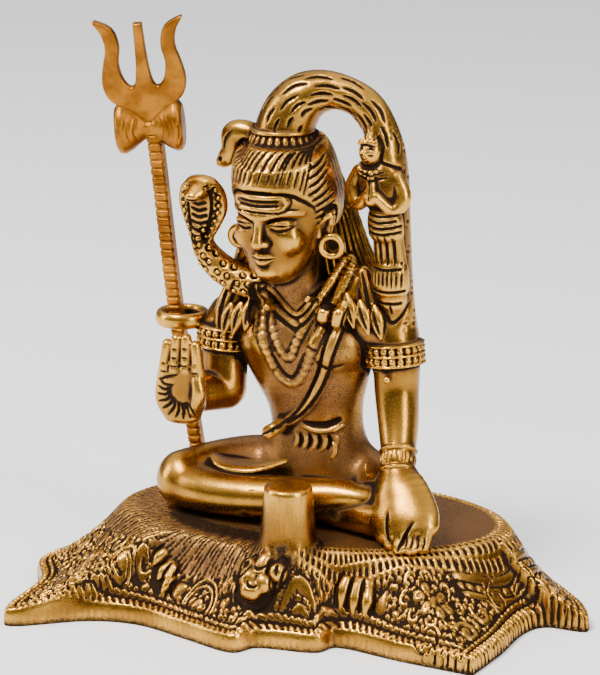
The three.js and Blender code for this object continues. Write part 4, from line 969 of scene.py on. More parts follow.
def sculpt_goddess_body(clay):
    """Her necklace, her dress in stages, and both arms, which meet over the chest."""
    clay.hoop((21, 1.6, 110.6), (0, -0.35, 1), 3.9, 1.1, rise=1.2, soft=0.2, beads=15, depth=0.8)
    clay.limb([(20.8, 2, 112, 2.4), (22.6, 2, 109, 6.4, 3.4), (23.6, 1.4, 103, 6, 4),
               (25, 1.6, 97.4, 4.2, 3.2), (25.4, 1, 96, 5.4, 4), (25.8, 1, 91.4, 5.6, 4),
               (26.2, 1.6, 90.4, 4.8, 3.2), (27, 1.6, 80.8, 5.4, 3.4), (27, 1.4, 79.6, 5.8, 4.2),
               (27.2, 1.4, 74.6, 5.9, 4.2), (27.2, 1.8, 73.6, 4.6, 3), (27.6, 1.6, 70.4, 4.8, 3.2),
               (28.4, 1.8, 65.4, 1.4, 1.2)], level=Z, soft=0.4)
    clay.limb([(16.6, 2, 109, 2.2), (14.8, 1.4, 104, 2.4), (17.6, -0.6, 99.5, 2), (21.6, -3, 103.4, 1.7)],
              soft=0.2)
    clay.limb([(28.6, 2, 108, 2.2), (31, 1.4, 102, 2.5), (28.4, -0.6, 98.4, 2), (24, -3, 102.6, 1.7)],
              soft=0.2)
    clay.limb([(22.4, -3.2, 101.4, 2, 1.7), (22.2, -2.8, 108.4, 1.2, 1)], soft=0.3)
    front_cut(clay, [(22.3, 101.5), (22.3, 108.5)], 0.45, 0.4)


def cut_goddess(clay):
    """The folds of her dress, and dark lines that part her from the hair."""
    for z, width in ((110.2, 4), (108.6, 5.2)):
        front_cut(clay, [(21.6 - width, z), (21.8, z - 1.3), (22 + width, z - 0.2)], 0.7, 0.5)
    for z in (97.2, 95.4, 93.6, 91.8):
        front_cut(clay, [(20.4, z), (25, z - 0.7), (31, z + 0.2)], 0.75, 0.6, taper=False)
    for x in (22.9, 25, 27.1, 29.2, 31):
        front_cut(clay, [(x - 0.5, 90.4), (x, 86), (x + 0.4, 81.6)], 0.95, 0.9)
    for z in (80.8, 74, 70.2):
        front_cut(clay, [(21.6, z), (26.8, z - 0.5), (32.4, z)], 0.8, 0.7, taper=False)
    for k in range(8):
        x = 22.2 + 1.35 * k
        front_cut(clay, [(x, 79.9), (x, 75)], 0.6, 0.5)
    front_cut(clay, [(28, 69.4), (28.3, 66.4)], 0.7, 0.6)
    for line in ([(17.6, 120.5), (16.3, 117), (16.6, 113.2), (18, 111.4)],
                 [(23.4, 121), (24.8, 117), (24.4, 113), (27.2, 111.6), (31, 109.4), (33.8, 104)],
                 [(21.4, 92), (21, 86), (20.6, 80)], [(32.4, 98), (31.8, 93), (33, 86), (33.2, 79)],
                 [(22.4, 72), (23.4, 69), (26.2, 65.4), (28.5, 63.6), (31, 66), (32.6, 70)]):
        front_cut(clay, line, 1.0, 0.8, reach=14)


def sculpt_goddess(clay):
    sculpt_goddess_head(clay)
    sculpt_goddess_body(clay)
    cut_goddess(clay)


# The cobra that looks over the right shoulder

def sculpt_cobra(clay):
    body = [(-8, 0, 72.4, 4.4), (-15, -2.4, 72, 4.8), (-22, -2.6, 73.6, 4.7), (-28, -3.4, 77.4, 4.4),
            (-31.6, -4.6, 82.4, 3.7), (-32.4, -5.6, 88, 3.5)]
    clay.limb(body, side=Y, soft=0.3)
    hood = [(-32.4, -5.2, 86, 3.6, 2.4), (-31.8, -5.8, 91, 6.2, 2.6), (-31.2, -6.4, 96, 8, 2.8),
            (-30.6, -7.6, 100.6, 7.6, 3.2), (-30.4, -8.6, 103.4, 5.6, 2.8)]
    clay.limb(hood, soft=0.6)
    clay.limb([(-30.4, -6.6, 102.4, 3.6, 2.8), (-30.8, -10.8, 102, 3.9, 2.6),
               (-31.2, -14.6, 100.4, 2.4, 1.7)], soft=0.6)
    for hand in (-1, 1):
        inner = [(x + hand * (0.45 * a + 0.3), y - 8, z) for x, y, z, a, b in hood]
        clay.stroke(inner, 0.9, 0.7, reach=10, taper=False)
        for i in range(7):
            z = 87 + 2.5 * i
            x, a = [np.interp(z, [row[2] for row in hood], [row[k] for row in hood]) for k in (0, 3)]
            ring_scale(clay, (x + hand * 0.76 * a, -14, z), Y, 1.15)
    for i in range(7):
        z = 85 + 2.1 * i
        front_cut(clay, [(-34.6 + 0.2 * i, z + 0.3), (-32 + 0.1 * i, z - 0.4), (-29.6 + 0.1 * i, z + 0.3)],
                  0.9, 0.6, y=-14, reach=11, taper=False)
    path = spline(body, 6)[4:]
    for row, spot in enumerate(path[::3]):
        for k in (-1, 0, 1):
            ring_scale(clay, (spot[0] + 1.6 * k, -16, spot[2] + 2.6 * k + 0.8 * (row % 2)), Y, 1.2)
    for x in (-33.6, -28.2):
        clay.ball((x, -11.4, 102.4), (1.3, 1.4, 1), soft=0.1, cut=True)
        clay.ball((x, -11.4, 102.4), (1, 1.1, 0.7), soft=0.1)
    clay.stroke([(-33.6, -13, 100), (-31.2, -18, 99.4), (-28.6, -13, 100)], 0.6, 0.5, unit((0, 1, 0.1)),
                reach=6)


def ring_scale(clay, place, direction, size):
    """A scale: a round dimple with a boss in it."""
    spot = clay.snap([place], direction, reach=14)[0]
    clay.ball(spot, size, soft=0.1, cut=True)
    clay.ball(spot + 0.35 * unit(direction), 0.62 * size, soft=0.1)


# The ring beside the right hand, which holds the trident's rod, and the rod's line

ROD_LINE = [(-42.2, 14.4, 0), (-45.4, 3.3, 57.6), (-46.4, -7.2, 112), (-47.6, -8.6, 119.4)]
RING_SPOT = (-43.4, 3.5, 57.6)
RING_HOLE = 5.6
RING_BAND = 3
RING_HEIGHT = 5


def sculpt_ring(clay):
    x, y, z = RING_SPOT
    clay.hoop(RING_SPOT, Z, RING_HOLE + RING_BAND / 2, RING_BAND / 2, rise=RING_HEIGHT / 2, soft=0.6)
    clay.limb([(x, y, z - 8, RING_HOLE), (x, y, z + 8, RING_HOLE)], soft=0.1, cut=True, level=Z)


# The trident

ROD_WIDTH = 4.4
RUNG = 2.7
FORK_HEIGHT = 34.5
FORK_SPREAD = 27.4
FORK_THICKNESS = 3.2
FORK_ROUNDING = 0.8
DRUM_LENGTH = 21
DRUM_RADIUS = 8
DRUM_SQUASH = (0.72, 1)
HEAD_PLACE = (-48, -8.2, 119.7)
HEAD_UP = (0.02, -0.18, 1)
FORK_YAW = 12
FORK_ROLL = 3.5
HALF_FORK = [
    (0.1, 0.96), (0.13, 0.62), (0.2, 0.42), (0.32, 0.385), (0.46, 0.46), (0.52, 0.6), (0.46, 0.76),
    (0.58, 0.92), (0.94, 1), (1, 0.985), (0.84, 0.88), (0.78, 0.74), (0.88, 0.58), (0.94, 0.43),
    (0.86, 0.3), (0.66, 0.22), (0.3, 0.12), (0.2, -0.1),
]


def fork_axes():
    """The directions across the prongs, through them and along them, in the object's frame."""
    lean = Vector((0, 0, 1)).rotation_difference(Vector(HEAD_UP).normalized()).to_matrix()
    yaw = Matrix.Rotation(math.radians(FORK_YAW), 3, "Z")
    roll = Matrix.Rotation(math.radians(-FORK_ROLL), 3, "Y")
    return np.array(lean @ yaw @ roll).T


def sculpt_fork(clay, centre, axes):
    half = spline([(x * FORK_SPREAD / 2, z * FORK_HEIGHT) for x, z in HALF_FORK], 3)
    corners = np.vstack([half, (half * (-1, 1))[::-1]])
    reach = FORK_HEIGHT + 3
    window, (x, y, z) = clay.block(np.asarray(centre) - reach, np.asarray(centre) + reach)
    offset = (x - centre[0], y - centre[1], z - centre[2])
    u, w, v = [sum(offset[i] * np.float32(axis[i]) for i in range(3)) for axis in axes]
    body = rounded_overlap(polygon_distance(u, v, corners), np.abs(w) - FORK_THICKNESS / 2, FORK_ROUNDING)
    clay.merge(window, body.astype(np.float32), 0.3)


def sculpt_drum(clay, centre, axes):
    """An hourglass drum, its two heads swollen and worn round, with the fork's foot let in between them."""
    half = [(0.34, 0), (0.56, 0.12), (0.86, 0.27), (1.0, 0.38), (0.97, 0.45), (0.8, 0.495), (-0.1, 0.5)]
    profile = [(r * DRUM_RADIUS, h * DRUM_LENGTH) for r, h in half]
    profile = [(r, -h) for r, h in reversed(profile[1:])] + profile
    clay.turned(centre, profile, axis=axes[0], soft=0.5, squash=DRUM_SQUASH)
    for hand in (-1, 1):
        for k in range(4):
            spot = centre + axes[0] * hand * (3.4 + 1.9 * k)
            high, low = 4.6 - 0.8 * abs(k - 1), -4.4 + 0.7 * abs(k - 2)
            points = [spot + axes[2] * high - axes[1] * 9, spot + axes[0] * hand * 0.9 - axes[1] * 9,
                      spot + axes[2] * low - axes[1] * 9]
            clay.stroke(points, 0.9, 0.4, axes[1], reach=9)


def sculpt_trident(clay):
    """The rod with notches across its front, the fork, and the drum over the fork's foot."""
    def notches(angle, way):
        return -0.5 * (np.abs(np.cos(np.pi * way / RUNG)) > 0.9) * (np.sin(angle) < -0.5)

    line = seated(np.array(ROD_LINE, float)) + (0, 0, 0.25 * ROD_WIDTH)
    half = ROD_WIDTH / 2
    clay.limb([(*spot, half, half) for spot in line], steps=8, soft=0.2, corner=0.7, relief=notches)
    centre = seated(np.array([HEAD_PLACE], float))[0]
    axes = fork_axes()
    sculpt_fork(clay, centre, axes)
    sculpt_drum(clay, centre, axes)


# The base: a mound inside an outline of lobes, with the seat's flat top in its middle

BASE_LENGTH = 178
BASE_DEPTH = 100
SEAT_HEIGHT = 26
RIM_HEIGHT = 4.6
SEAT_LENGTH = 119
SEAT_DEPTH = 68
SEAT_CENTRE = (0, 8)
POST_HEIGHT = 19
POST_TOP_RADIUS = 7.3
POST_FOOT_RADIUS = 8.7
POST_SPOT = (7.2, -30.4)
EDGE_ROUNDING = 1.3
FOOT_SWELL = 1.25
FOOT_SWELL_SPOT = (1, -30)
FOOT_SWELL_REACH = (13, 6.5)
LOBES = [
    (0.72, -0.93), (0.77, -0.56), (0.8, -0.22), (0.86, -0.06), (1, -0.06), (0.98, 0.12), (0.92, 0.28),
    (0.84, 0.46), (0.75, 0.68), (0.6, 0.84), (0.45, 0.82), (0.3, 0.9), (0, 1), (-0.3, 0.9), (-0.45, 0.82),
    (-0.6, 0.84), (-0.75, 0.68), (-0.85, 0.44), (-0.95, 0.2), (-1, -0.08), (-0.92, -0.42), (-0.93, -0.88),
    (-0.88, -0.98), (-0.66, -0.77), (-0.48, -0.74), (-0.3, -0.86), (-0.1, -1), (-0.02, -0.88),
    (0.17, -0.86), (0.24, -0.74), (0.46, -0.84),
]
FALL = [
    (0, 1), (0.1, 0.96), (0.16, 0.89), (0.22, 0.8), (0.3, 0.68), (0.38, 0.56), (0.58, 0.33), (0.8, 0.12),
    (1, 0),
]


def rim_line():
    """The base's outline in plan, in mm."""
    points = spline(LOBES + LOBES[:1], 6)[:-1]
    low, high = points.min(axis=0), points.max(axis=0)
    return (points - (low + high) / 2) / (high - low) * (BASE_LENGTH, BASE_DEPTH)


def seat_reach(angle):
    return 0.5 / np.hypot(np.cos(angle) / SEAT_LENGTH, np.sin(angle) / SEAT_DEPTH)


class Plan:
    """The base seen from above. Each cell has its way from the seat's edge (0) to the rim (1), how far `out`
    it is beyond the seat's edge and `inward` from the rim in mm, and its height. Relief is raised on a ground
    or cut into it. `taken` marks the cells that carry relief, and `open` the sunk ground."""

    def __init__(self, cell):
        self.cell = cell
        self.rim = rim_line()
        self.x = np.arange(-BASE_LENGTH / 2 - 1, BASE_LENGTH / 2 + 1, cell)[:, None]
        self.y = np.arange(-BASE_DEPTH / 2 - 1, BASE_DEPTH / 2 + 1, cell)[None, :]
        self.angle = np.arctan2(self.y - SEAT_CENTRE[1], self.x - SEAT_CENTRE[0])
        away = np.hypot(self.x - SEAT_CENTRE[0], self.y - SEAT_CENTRE[1])
        inner, outer = seat_reach(self.angle), self.rim_reach(self.angle)
        self.way = (away - inner) / (outer - inner)
        self.out = away - inner
        self.inward = -polygon_distance(self.x, self.y, self.rim)
        self.run = self.angle * (SEAT_LENGTH + SEAT_DEPTH) / 4
        self.edge_run = self.run_of_rim()
        ways, shares = zip(*FALL)
        self.plain = RIM_HEIGHT + (SEAT_HEIGHT - RIM_HEIGHT) * np.interp(self.way, ways, shares)
        self.plain += self.foot_swell() * (SEAT_HEIGHT - self.plain) * np.clip((self.inward - 2) / 6, 0, 1)
        self.ground = np.zeros(self.plain.shape)
        self.raised = np.zeros(self.plain.shape)
        self.wall = np.zeros(self.plain.shape)
        self.taken = np.zeros(self.plain.shape, bool)
        self.open = np.zeros(self.plain.shape, bool)

    def foot_swell(self):
        """How far the ground rises towards the seat's height before the post's foot."""
        across = (self.x - FOOT_SWELL_SPOT[0]) / FOOT_SWELL_REACH[0]
        along = (self.y - FOOT_SWELL_SPOT[1]) / FOOT_SWELL_REACH[1]
        return np.minimum(FOOT_SWELL * np.exp(-across ** 2 - along ** 2), 1)

    def rim_reach(self, angle):
        spoke = self.rim - SEAT_CENTRE
        bearing = np.arctan2(spoke[:, 1], spoke[:, 0])
        order = np.argsort(bearing)
        return np.interp(angle, bearing[order], np.hypot(spoke[:, 0], spoke[:, 1])[order],
                         period=2 * math.pi)

    def run_of_rim(self):
        """How far along the rim the place nearest to each cell is, in mm, for the cells beside it."""
        line = spline(np.vstack([self.rim, self.rim[:1]]), 5)
        run = np.concatenate([[0], np.cumsum(np.linalg.norm(np.diff(line, axis=0), axis=1))])
        beside = np.argwhere(np.abs(self.inward) < 7)
        x, y = self.x[beside[:, 0], 0], self.y[0, beside[:, 1]]
        nearest = np.full(len(beside), 1e6)
        found = np.zeros(self.inward.shape)
        for (px, py), along in zip(line, run):
            distance = (x - px) ** 2 + (y - py) ** 2
            closer = distance < nearest
            nearest = np.where(closer, distance, nearest)
            found[beside[closer, 0], beside[closer, 1]] = along
        return found

    def cell_of(self, x, y):
        return int(round((x - self.x[0, 0]) / self.cell)), int(round((y - self.y[0, 0]) / self.cell))

    def height_at(self, x, y):
        i, j = np.clip(self.cell_of(x, y), 0, np.array(self.plain.shape) - 1)
        return float(self.plain[i, j])

    def near(self, points, reach):
        """The cells within `reach` of some points, and their coordinates."""
        points = np.atleast_2d(points)
        i0, j0 = self.cell_of(*(points.min(axis=0) - reach))
        i1, j1 = self.cell_of(*(points.max(axis=0) + reach))
        window = (slice(max(i0, 0), max(i1, 0)), slice(max(j0, 0), max(j1, 0)))
        return window, self.x[window[0]], self.y[:, window[1]]

    def line_distance(self, x, y, points):
        """The distance to a line through points, and the share of its length at the nearest place."""
        nearest = np.full(np.broadcast(x, y).shape, 1e6)
        share_there = np.zeros(nearest.shape)
        for i, ((ax, ay), (bx, by)) in enumerate(zip(points[:-1], points[1:])):
            ex, ey = bx - ax, by - ay
            share = np.clip(((x - ax) * ex + (y - ay) * ey) / max(ex * ex + ey * ey, 1e-9), 0, 1)
            distance = np.hypot(x - ax - share * ex, y - ay - share * ey)
            closer = distance < nearest
            nearest = np.where(closer, distance, nearest)
            share_there = np.where(closer, (i + share) / (len(points) - 1), share_there)
        return nearest, share_there

    def raise_by(self, window, top):
        """Raises relief where the sunk ground lies open."""
        stands = (top > 0) & self.open[window]
        self.raised[window] = np.where(stands, np.maximum(self.raised[window], top), self.raised[window])

    def ridge(self, points, width, height):
        """Raises a rounded line that thins towards its ends."""
        line = spline(points, 4)
        window, x, y = self.near(line, width)
        distance, share = self.line_distance(x, y, line)
        half = width / 2 * np.sqrt(np.clip(np.sin(np.pi * (0.12 + 0.8 * share)), 0.02, 1))
        self.raise_by(window, np.sqrt(np.clip(1 - (distance / half) ** 4, 0, 1)) * height)
        self.taken[window] |= distance < half + 0.35

    def dome(self, x0, y0, radius, height, stretch=1.0, heading=0.0, tip=0.0):
        """Raises a rounded drop, longer by `stretch` towards `heading` and pointed by `tip`."""
        window, x, y = self.near((x0, y0), radius * stretch + 1)
        c, s = math.cos(math.radians(heading)), math.sin(math.radians(heading))
        u = ((x - x0) * c + (y - y0) * s) / (radius * stretch)
        v = (-(x - x0) * s + (y - y0) * c) / (radius * np.clip(1 - tip * u, 0.15, 2))
        self.raise_by(window, np.sqrt(np.clip(1 - u ** 2 - v ** 2, 0, 1)) * height)
        self.taken[window] |= u ** 2 + v ** 2 < 1.25

    def groove(self, points, width, depth):
        """Cuts a line with pointed ends."""
        line = spline(points, 4)
        window, x, y = self.near(line, width)
        distance, share = self.line_distance(x, y, line)
        half = width / 2 * np.sqrt(np.clip(np.sin(np.pi * share), 0.05, 1))
        self.raised[window] -= np.sqrt(np.clip(1 - (distance / half) ** 2, 0, 1)) * depth

    def free(self, x, y, radius):
        """Whether the ground is bare within `radius` of a place in the scrollwork."""
        window, gx, gy = self.near((x, y), radius + self.cell)
        disc = np.hypot(gx - x, gy - y) < radius
        if not disc.any():
            return False
        return not (self.taken[window] & disc).any() and self.open[window][disc].mean() > 0.85

    @property
    def height(self):
        return self.plain + self.ground + self.raised


# Ornament for the skin that covers the mound

GROUND_DEPTH = 0.85
RELIEF = 1.2
FUR_START = -2.6
FUR_REACH = (6.4, 7.8, 9)
TUFT_LENGTH = 3.0
TUFT_PITCH = 1.75
LINE_PITCH = 1.5
BANDS_OUT = (7.4, 9.5, 11.6)
BAND_HALF = 0.85
BAND_BEAD = 2.3
BAND_DIRECTIONS = (-29, 46)
GRAIN_PITCH = 1.9
GRAIN_RADIUS = 0.85
GRAIN_SHIFT = 0.32
FILL_SIZES = (3.4, 2.7, 2.0, 1.4)
FILL_TRIES = 4500
RIM_SLAB = 2.8
RIM_PITCH = 2.1
TEETH = (3.4, 4.7)
TEETH_GAP = 0.6
CHANNEL_DEPTH = 0.8


def beyond(x, y, reach, degrees):
    """The place `reach` mm from (x, y) in a direction."""
    return x + reach * math.cos(math.radians(degrees)), y + reach * math.sin(math.radians(degrees))


def spiral(x, y, radius, start, hand, turns=1.35, count=14):
    """Points that wind in on (x, y) from `start` degrees."""
    share = np.linspace(0, 1, count)
    angle = math.radians(start) + hand * 2 * math.pi * turns * share
    reach = radius * (1 - 0.82 * share)
    return np.stack([x + reach * np.cos(angle), y + reach * np.sin(angle)], axis=1)


def big_scroll(plan, x, y, radius, start, hand):
    """A double-lined scroll with a bud in its middle and small leaves on its back."""
    line = spiral(x, y, radius, start, hand)
    plan.ridge(line, 2.3, RELIEF)
    if radius > 3.5:
        plan.groove(line[:-3], 0.8, 0.9 * RELIEF)
    plan.dome(x, y, 1.2, RELIEF)
    for i in range(5):
        turn = start + hand * (20 + 62 * i)
        px, py = beyond(x, y, radius * (1.35 - 0.05 * i), turn)
        if plan.free(px, py, 0.9):
            plan.dome(px, py, 0.9, 0.9 * RELIEF, stretch=1.7, heading=turn + hand * 50, tip=0.5)


def flower(plan, x, y, radius):
    """Five petals round a bud."""
    plan.dome(x, y, 0.34 * radius, RELIEF)
    for turn in range(0, 360, 72):
        px, py = beyond(x, y, 0.72 * radius, turn)
        plan.dome(px, py, 0.36 * radius, RELIEF, stretch=1.25, heading=turn)


def rosette(plan, x, y, radius):
    """A lotus: an almond-shaped middle, petals round it, and a rim of small curls."""
    def place(turn, reach):
        return x + reach * math.cos(math.radians(turn)), y + 0.68 * reach * math.sin(math.radians(turn))

    plan.dome(x, y, 1.3, 1.1 * RELIEF, stretch=1.7, heading=100)
    for turn in range(10, 370, 60):
        plan.dome(*place(turn, 0.5 * radius), 1.5, RELIEF, stretch=1.5, heading=turn, tip=-0.3)
        plan.groove([place(turn, 0.4 * radius), place(turn, 0.62 * radius)], 0.8, 0.6)
    for turn in range(0, 360, 40):
        px, py = place(turn, radius)
        plan.ridge(spiral(px, py, 2.3, turn - 100, 1, turns=0.6, count=8), 1.25, RELIEF)


def paisley(plan, x, y, heading, size):
    """A drop that curls over at its tip, inside a border of leaves."""
    c, s = math.cos(math.radians(heading)), math.sin(math.radians(heading))

    def place(u, v):
        return x + size * (u * c - v * s), y + size * (u * s + v * c)

    plan.ridge([place(*p) for p in ((-1.6, -0.5), (-0.9, 0.45), (0, 0.85), (0.8, 0.5), (1, -0.3),
                                    (0.45, -0.9), (-0.15, -0.75), (-0.2, -0.2))], 1.6, RELIEF)
    plan.ridge([place(*p) for p in ((-1.2, -0.75), (-0.6, 0), (0, 0.4), (0.5, 0.15), (0.5, -0.35))], 1.2,
               RELIEF)
    for k in range(9):
        turn = 200 - 32 * k
        px, py = place(1.5 * math.cos(math.radians(turn)), 1.35 * math.sin(math.radians(turn)))
        plan.dome(px, py, 0.85, RELIEF, stretch=1.35, heading=heading + turn, tip=0.4)


def left_share(plan):
    """1 at the left of the mound, where the fur is long, and 0 at its front, right and back."""
    degrees = np.degrees(plan.angle)
    return np.clip((-93 - degrees) / 5, 0, 1) + (degrees > 150)


def fur_reach(plan):
    """How far out the fur goes: least at the right, more at the front and most at the left."""
    front = np.clip((-30 - np.degrees(plan.angle)) / 12, 0, 1)
    right_to_front = FUR_REACH[0] + (FUR_REACH[1] - FUR_REACH[0]) * front
    return right_to_front + (FUR_REACH[2] - right_to_front) * left_share(plan)


def lay_fur(plan):
    """Rows of short tufts parted by dark cuts, and long fine lines at the left."""
    left = left_share(plan)
    inside = (plan.out < fur_reach(plan)) & (plan.inward > TEETH[1] + TEETH_GAP)
    row = np.floor((plan.out - FUR_START) / TUFT_LENGTH)
    along = (plan.out - FUR_START) / TUFT_LENGTH - row
    strand = plan.run / TUFT_PITCH + 0.5 * row + 0.22 * np.sin(plan.run / 3.1 + 2 * row) + 0.3 * along
    aside = np.abs(strand - np.round(strand))
    wide = 0.2 + 0.1 * np.sin(np.pi * along)
    long = np.clip(2.2 * np.sin(np.pi * along) - 0.7, 0, 1)
    cut = np.sqrt(np.clip(1 - ((0.5 - aside) / wide) ** 2, 0, 1)) * long
    tufts = 0.3 * (1 - (aside / 0.5) ** 2) - 1.1 * cut
    line = (plan.run + 0.25 * plan.out + 0.8 * np.sin(plan.out / 4 + plan.run / 8)) / LINE_PITCH
    gap = np.abs(line - np.round(line)) * LINE_PITCH
    broken = np.sin(0.55 * plan.out + 2.3 * np.round(line)) > -0.75
    lines = 0.1 - 0.6 * np.sqrt(np.clip(1 - (gap / 0.36) ** 2, 0, 1)) * broken
    fade = np.clip((plan.out + 15) / 4, 0, 1)
    plan.raised = np.where(inside & (left < 0.5) & (plan.out > FUR_START), tufts, plan.raised)
    plan.raised = np.where(inside & (left >= 0.5), fade * lines, plan.raised)


def lay_ground(plan):
    """The sunk ground between the fur and the rim, where the scrollwork stands."""
    plan.open = (plan.out > fur_reach(plan)) & (plan.inward > TEETH[1] + 0.5)
    plan.ground[plan.open] = -GROUND_DEPTH


def lay_bands(plan):
    """Three bands that edge the skin at the right, the middle one beaded."""
    degrees = np.degrees(plan.angle)
    ends = np.clip(np.minimum(degrees - BAND_DIRECTIONS[0], BAND_DIRECTIONS[1] - degrees) / 3, 0, 1)
    for k, out in enumerate(BANDS_OUT):
        top = np.sqrt(np.clip(1 - (np.abs(plan.out - out) / BAND_HALF) ** 4, 0, 1)) * RELIEF * ends
        if k == 1:
            top = top * (1 - 0.8 * np.abs(np.cos(np.pi * plan.run / BAND_BEAD)) ** 6)
        plan.raised = np.where((top > 0) & (plan.inward > TEETH[1] + TEETH_GAP), top, plan.raised)
    within = (plan.out > BANDS_OUT[0] - 1) & (plan.out < BANDS_OUT[2] + 1.2) & (ends > 0)
    plan.taken |= within


def lay_rim(plan):
    """A slab round the edge with notches across its inner side, a dark channel, and a row of small teeth."""
    degrees = np.degrees(plan.angle)
    right = np.clip(np.minimum(degrees + 48, 30 - degrees) / 4, 0, 1)
    notch = np.abs(np.cos(np.pi * (plan.edge_run + 0.6 * plan.inward) / RIM_PITCH)) ** 5
    hatched = np.clip((plan.inward - 0.9 + 1.4 * right) / 0.5, 0, 1)
    plan.wall = 0.7 * notch * (0.15 + 0.85 * right)
    slab = 0.7 * np.sqrt(np.clip(1 - (np.abs(plan.inward - RIM_SLAB / 2) / (RIM_SLAB / 2)) ** 4, 0, 1))
    slab = slab - 1.2 * notch * hatched
    plan.raised = np.where(plan.inward < RIM_SLAB, slab, plan.raised)
    channel = (plan.inward > RIM_SLAB) & (plan.inward < TEETH[0])
    plan.ground[channel] = -CHANNEL_DEPTH
    tooth = np.abs(np.sin(np.pi * (plan.edge_run + 0.9 * plan.inward) / RIM_PITCH)) ** 0.7
    middle = (TEETH[0] + TEETH[1]) / 2
    ridge = np.sqrt(np.clip(1 - ((plan.inward - middle) / (TEETH[1] - middle)) ** 2, 0, 1))
    row = (plan.inward >= TEETH[0]) & (plan.inward <= TEETH[1])
    plan.ground[row] = -0.7
    plan.raised = np.where(row, 1.2 * ridge * tooth, plan.raised)
    gap = (plan.inward > TEETH[1]) & (plan.inward < TEETH[1] + TEETH_GAP)
    plan.ground[gap] = -CHANNEL_DEPTH
    plan.taken |= plan.inward < TEETH[1] + 0.3


# Where the motifs stand in plan: the rosette (x, y, radius), the drop (x, y, heading, size), the scrolls
# (x, y, radius, start, hand), the flowers (x, y, radius), the paws (x, y, heading, size) and the tiger's brow
ROSETTE = (47.5, -29.5, 8.4)
PAISLEY = (8.8, -40, 10, 5.8)
SCROLLS = [
    (-22.5, -38.5, 6.6, 200, -1), (48.5, -39.6, 4.4, 150, 1), (-51, -29, 4.6, 60, 1),
    (-62, -35, 4.4, 250, -1), (-72, -40, 3.4, 100, 1), (-42, -41, 3.2, 10, -1), (27, -41.5, 3.6, 80, 1),
    (59, -33, 3.4, 200, -1), (63, -12, 4, 120, 1), (70, -3, 3.8, 200, -1), (76, 4, 3.2, 60, 1),
    (-66, -18, 4.2, 30, -1), (-73, -6, 4, 100, 1), (-14, -46, 2.4, 0, 1),
]
FLOWERS = [
    (39.5, -41.5, 2.5), (55, -27.5, 2.3), (-34, -42.5, 2.4), (-60, -44, 2.3), (19, -35.5, 2.4),
    (-79, -29, 2.4), (33, -26.5, 2.2), (1.5, -44.5, 2.2), (-45.5, -33.5, 2.3), (69, -13, 2.2),
]
PAWS = [(24.2, -30.6, -10, 0.85), (-37, -28, -50, 0.75)]
TIGER_BROW = (-1.9, -31.2)
TIGER_LEAN = 0.6

# Ground kept clear for the tiger's head and the paws: (x, y, radius)
CLEARED = [(-5, -35.5, 6.6), (24, -31, 5), (-37.4, -28.4, 4.2)]


def lay_scrollwork(plan):
    """The large motifs, then smaller and smaller curls and drops wherever they fit."""
    rosette(plan, *ROSETTE)
    paisley(plan, *PAISLEY)
    for scroll in SCROLLS:
        big_scroll(plan, *scroll)
    for x, y, radius in FLOWERS:
        if plan.free(x, y, 0.8 * radius):
            flower(plan, x, y, radius)
    fill = np.random.default_rng(11)
    corner = np.array((BASE_LENGTH, BASE_DEPTH)) / 2
    for size in FILL_SIZES:
        for x, y in fill.uniform(-corner, corner, (FILL_TRIES, 2)):
            turn, kind = fill.uniform(0, 360), fill.integers(3)
            if not plan.free(x, y, size + 0.1):
                continue
            if size > 1.7 and kind < 2:
                curl = spiral(x, y, size, turn, 1 if kind else -1, turns=0.9, count=9)
                plan.ridge(curl, 0.3 * size + 0.8, RELIEF)
            else:
                plan.dome(x, y, 0.62 * size, RELIEF, stretch=1.6, heading=turn, tip=0.6)
    lay_grain(plan)


def lay_grain(plan):
    """Small drops close together wherever the ground is still bare."""
    low = np.array((plan.x[0, 0], plan.y[0, 0]))
    count = (np.array(plan.plain.shape) * plan.cell / GRAIN_PITCH).astype(int) + 2
    shift = np.random.default_rng(5).uniform(-GRAIN_SHIFT, GRAIN_SHIFT, (*count, 2))
    i = ((plan.x - low[0]) / GRAIN_PITCH).astype(int)
    j = ((plan.y - low[1]) / GRAIN_PITCH).astype(int)
    nearest = np.full(plan.plain.shape, 9.0)
    for di in (-1, 0, 1):
        for dj in (-1, 0, 1):
            ci, cj = np.broadcast_arrays(np.clip(i + di, 0, count[0] - 1), np.clip(j + dj, 0, count[1] - 1))
            drop_x = low[0] + (ci + 0.5 + shift[ci, cj, 0]) * GRAIN_PITCH
            drop_y = low[1] + (cj + 0.5 + shift[ci, cj, 1]) * GRAIN_PITCH
            nearest = np.minimum(nearest, np.hypot(plan.x - drop_x, plan.y - drop_y))
    top = np.sqrt(np.clip(1 - (nearest / GRAIN_RADIUS) ** 2, 0, 1)) * RELIEF
    bare = plan.open & ~plan.taken & (plan.raised < 0.2)
    plan.raised = np.where(bare, np.maximum(plan.raised, top), plan.raised)


def clay_of_plan(plan, clay):
    """Fills the clay below the plan's height and inside its rim."""
    z = (clay.low[2] + clay.cell * np.arange(clay.shape[2]))[None, None, :]
    height = plan.height
    slope_x, slope_y = np.gradient(height, plan.cell)
    steep = 1 / np.sqrt(1 + slope_x ** 2 + slope_y ** 2)
    top = (z - height[:, :, None]) * steep[:, :, None]
    side = -plan.inward[:, :, None] + plan.wall[:, :, None] * np.clip(z - 0.8, 0, 1)
    field = np.maximum(rounded_overlap(top, side, EDGE_ROUNDING), -z).astype(np.float32)
    shape = [min(a, b) for a, b in zip(clay.field.shape, field.shape)]
    clay.field[:shape[0], :shape[1], :shape[2]] = field[:shape[0], :shape[1], :shape[2]]


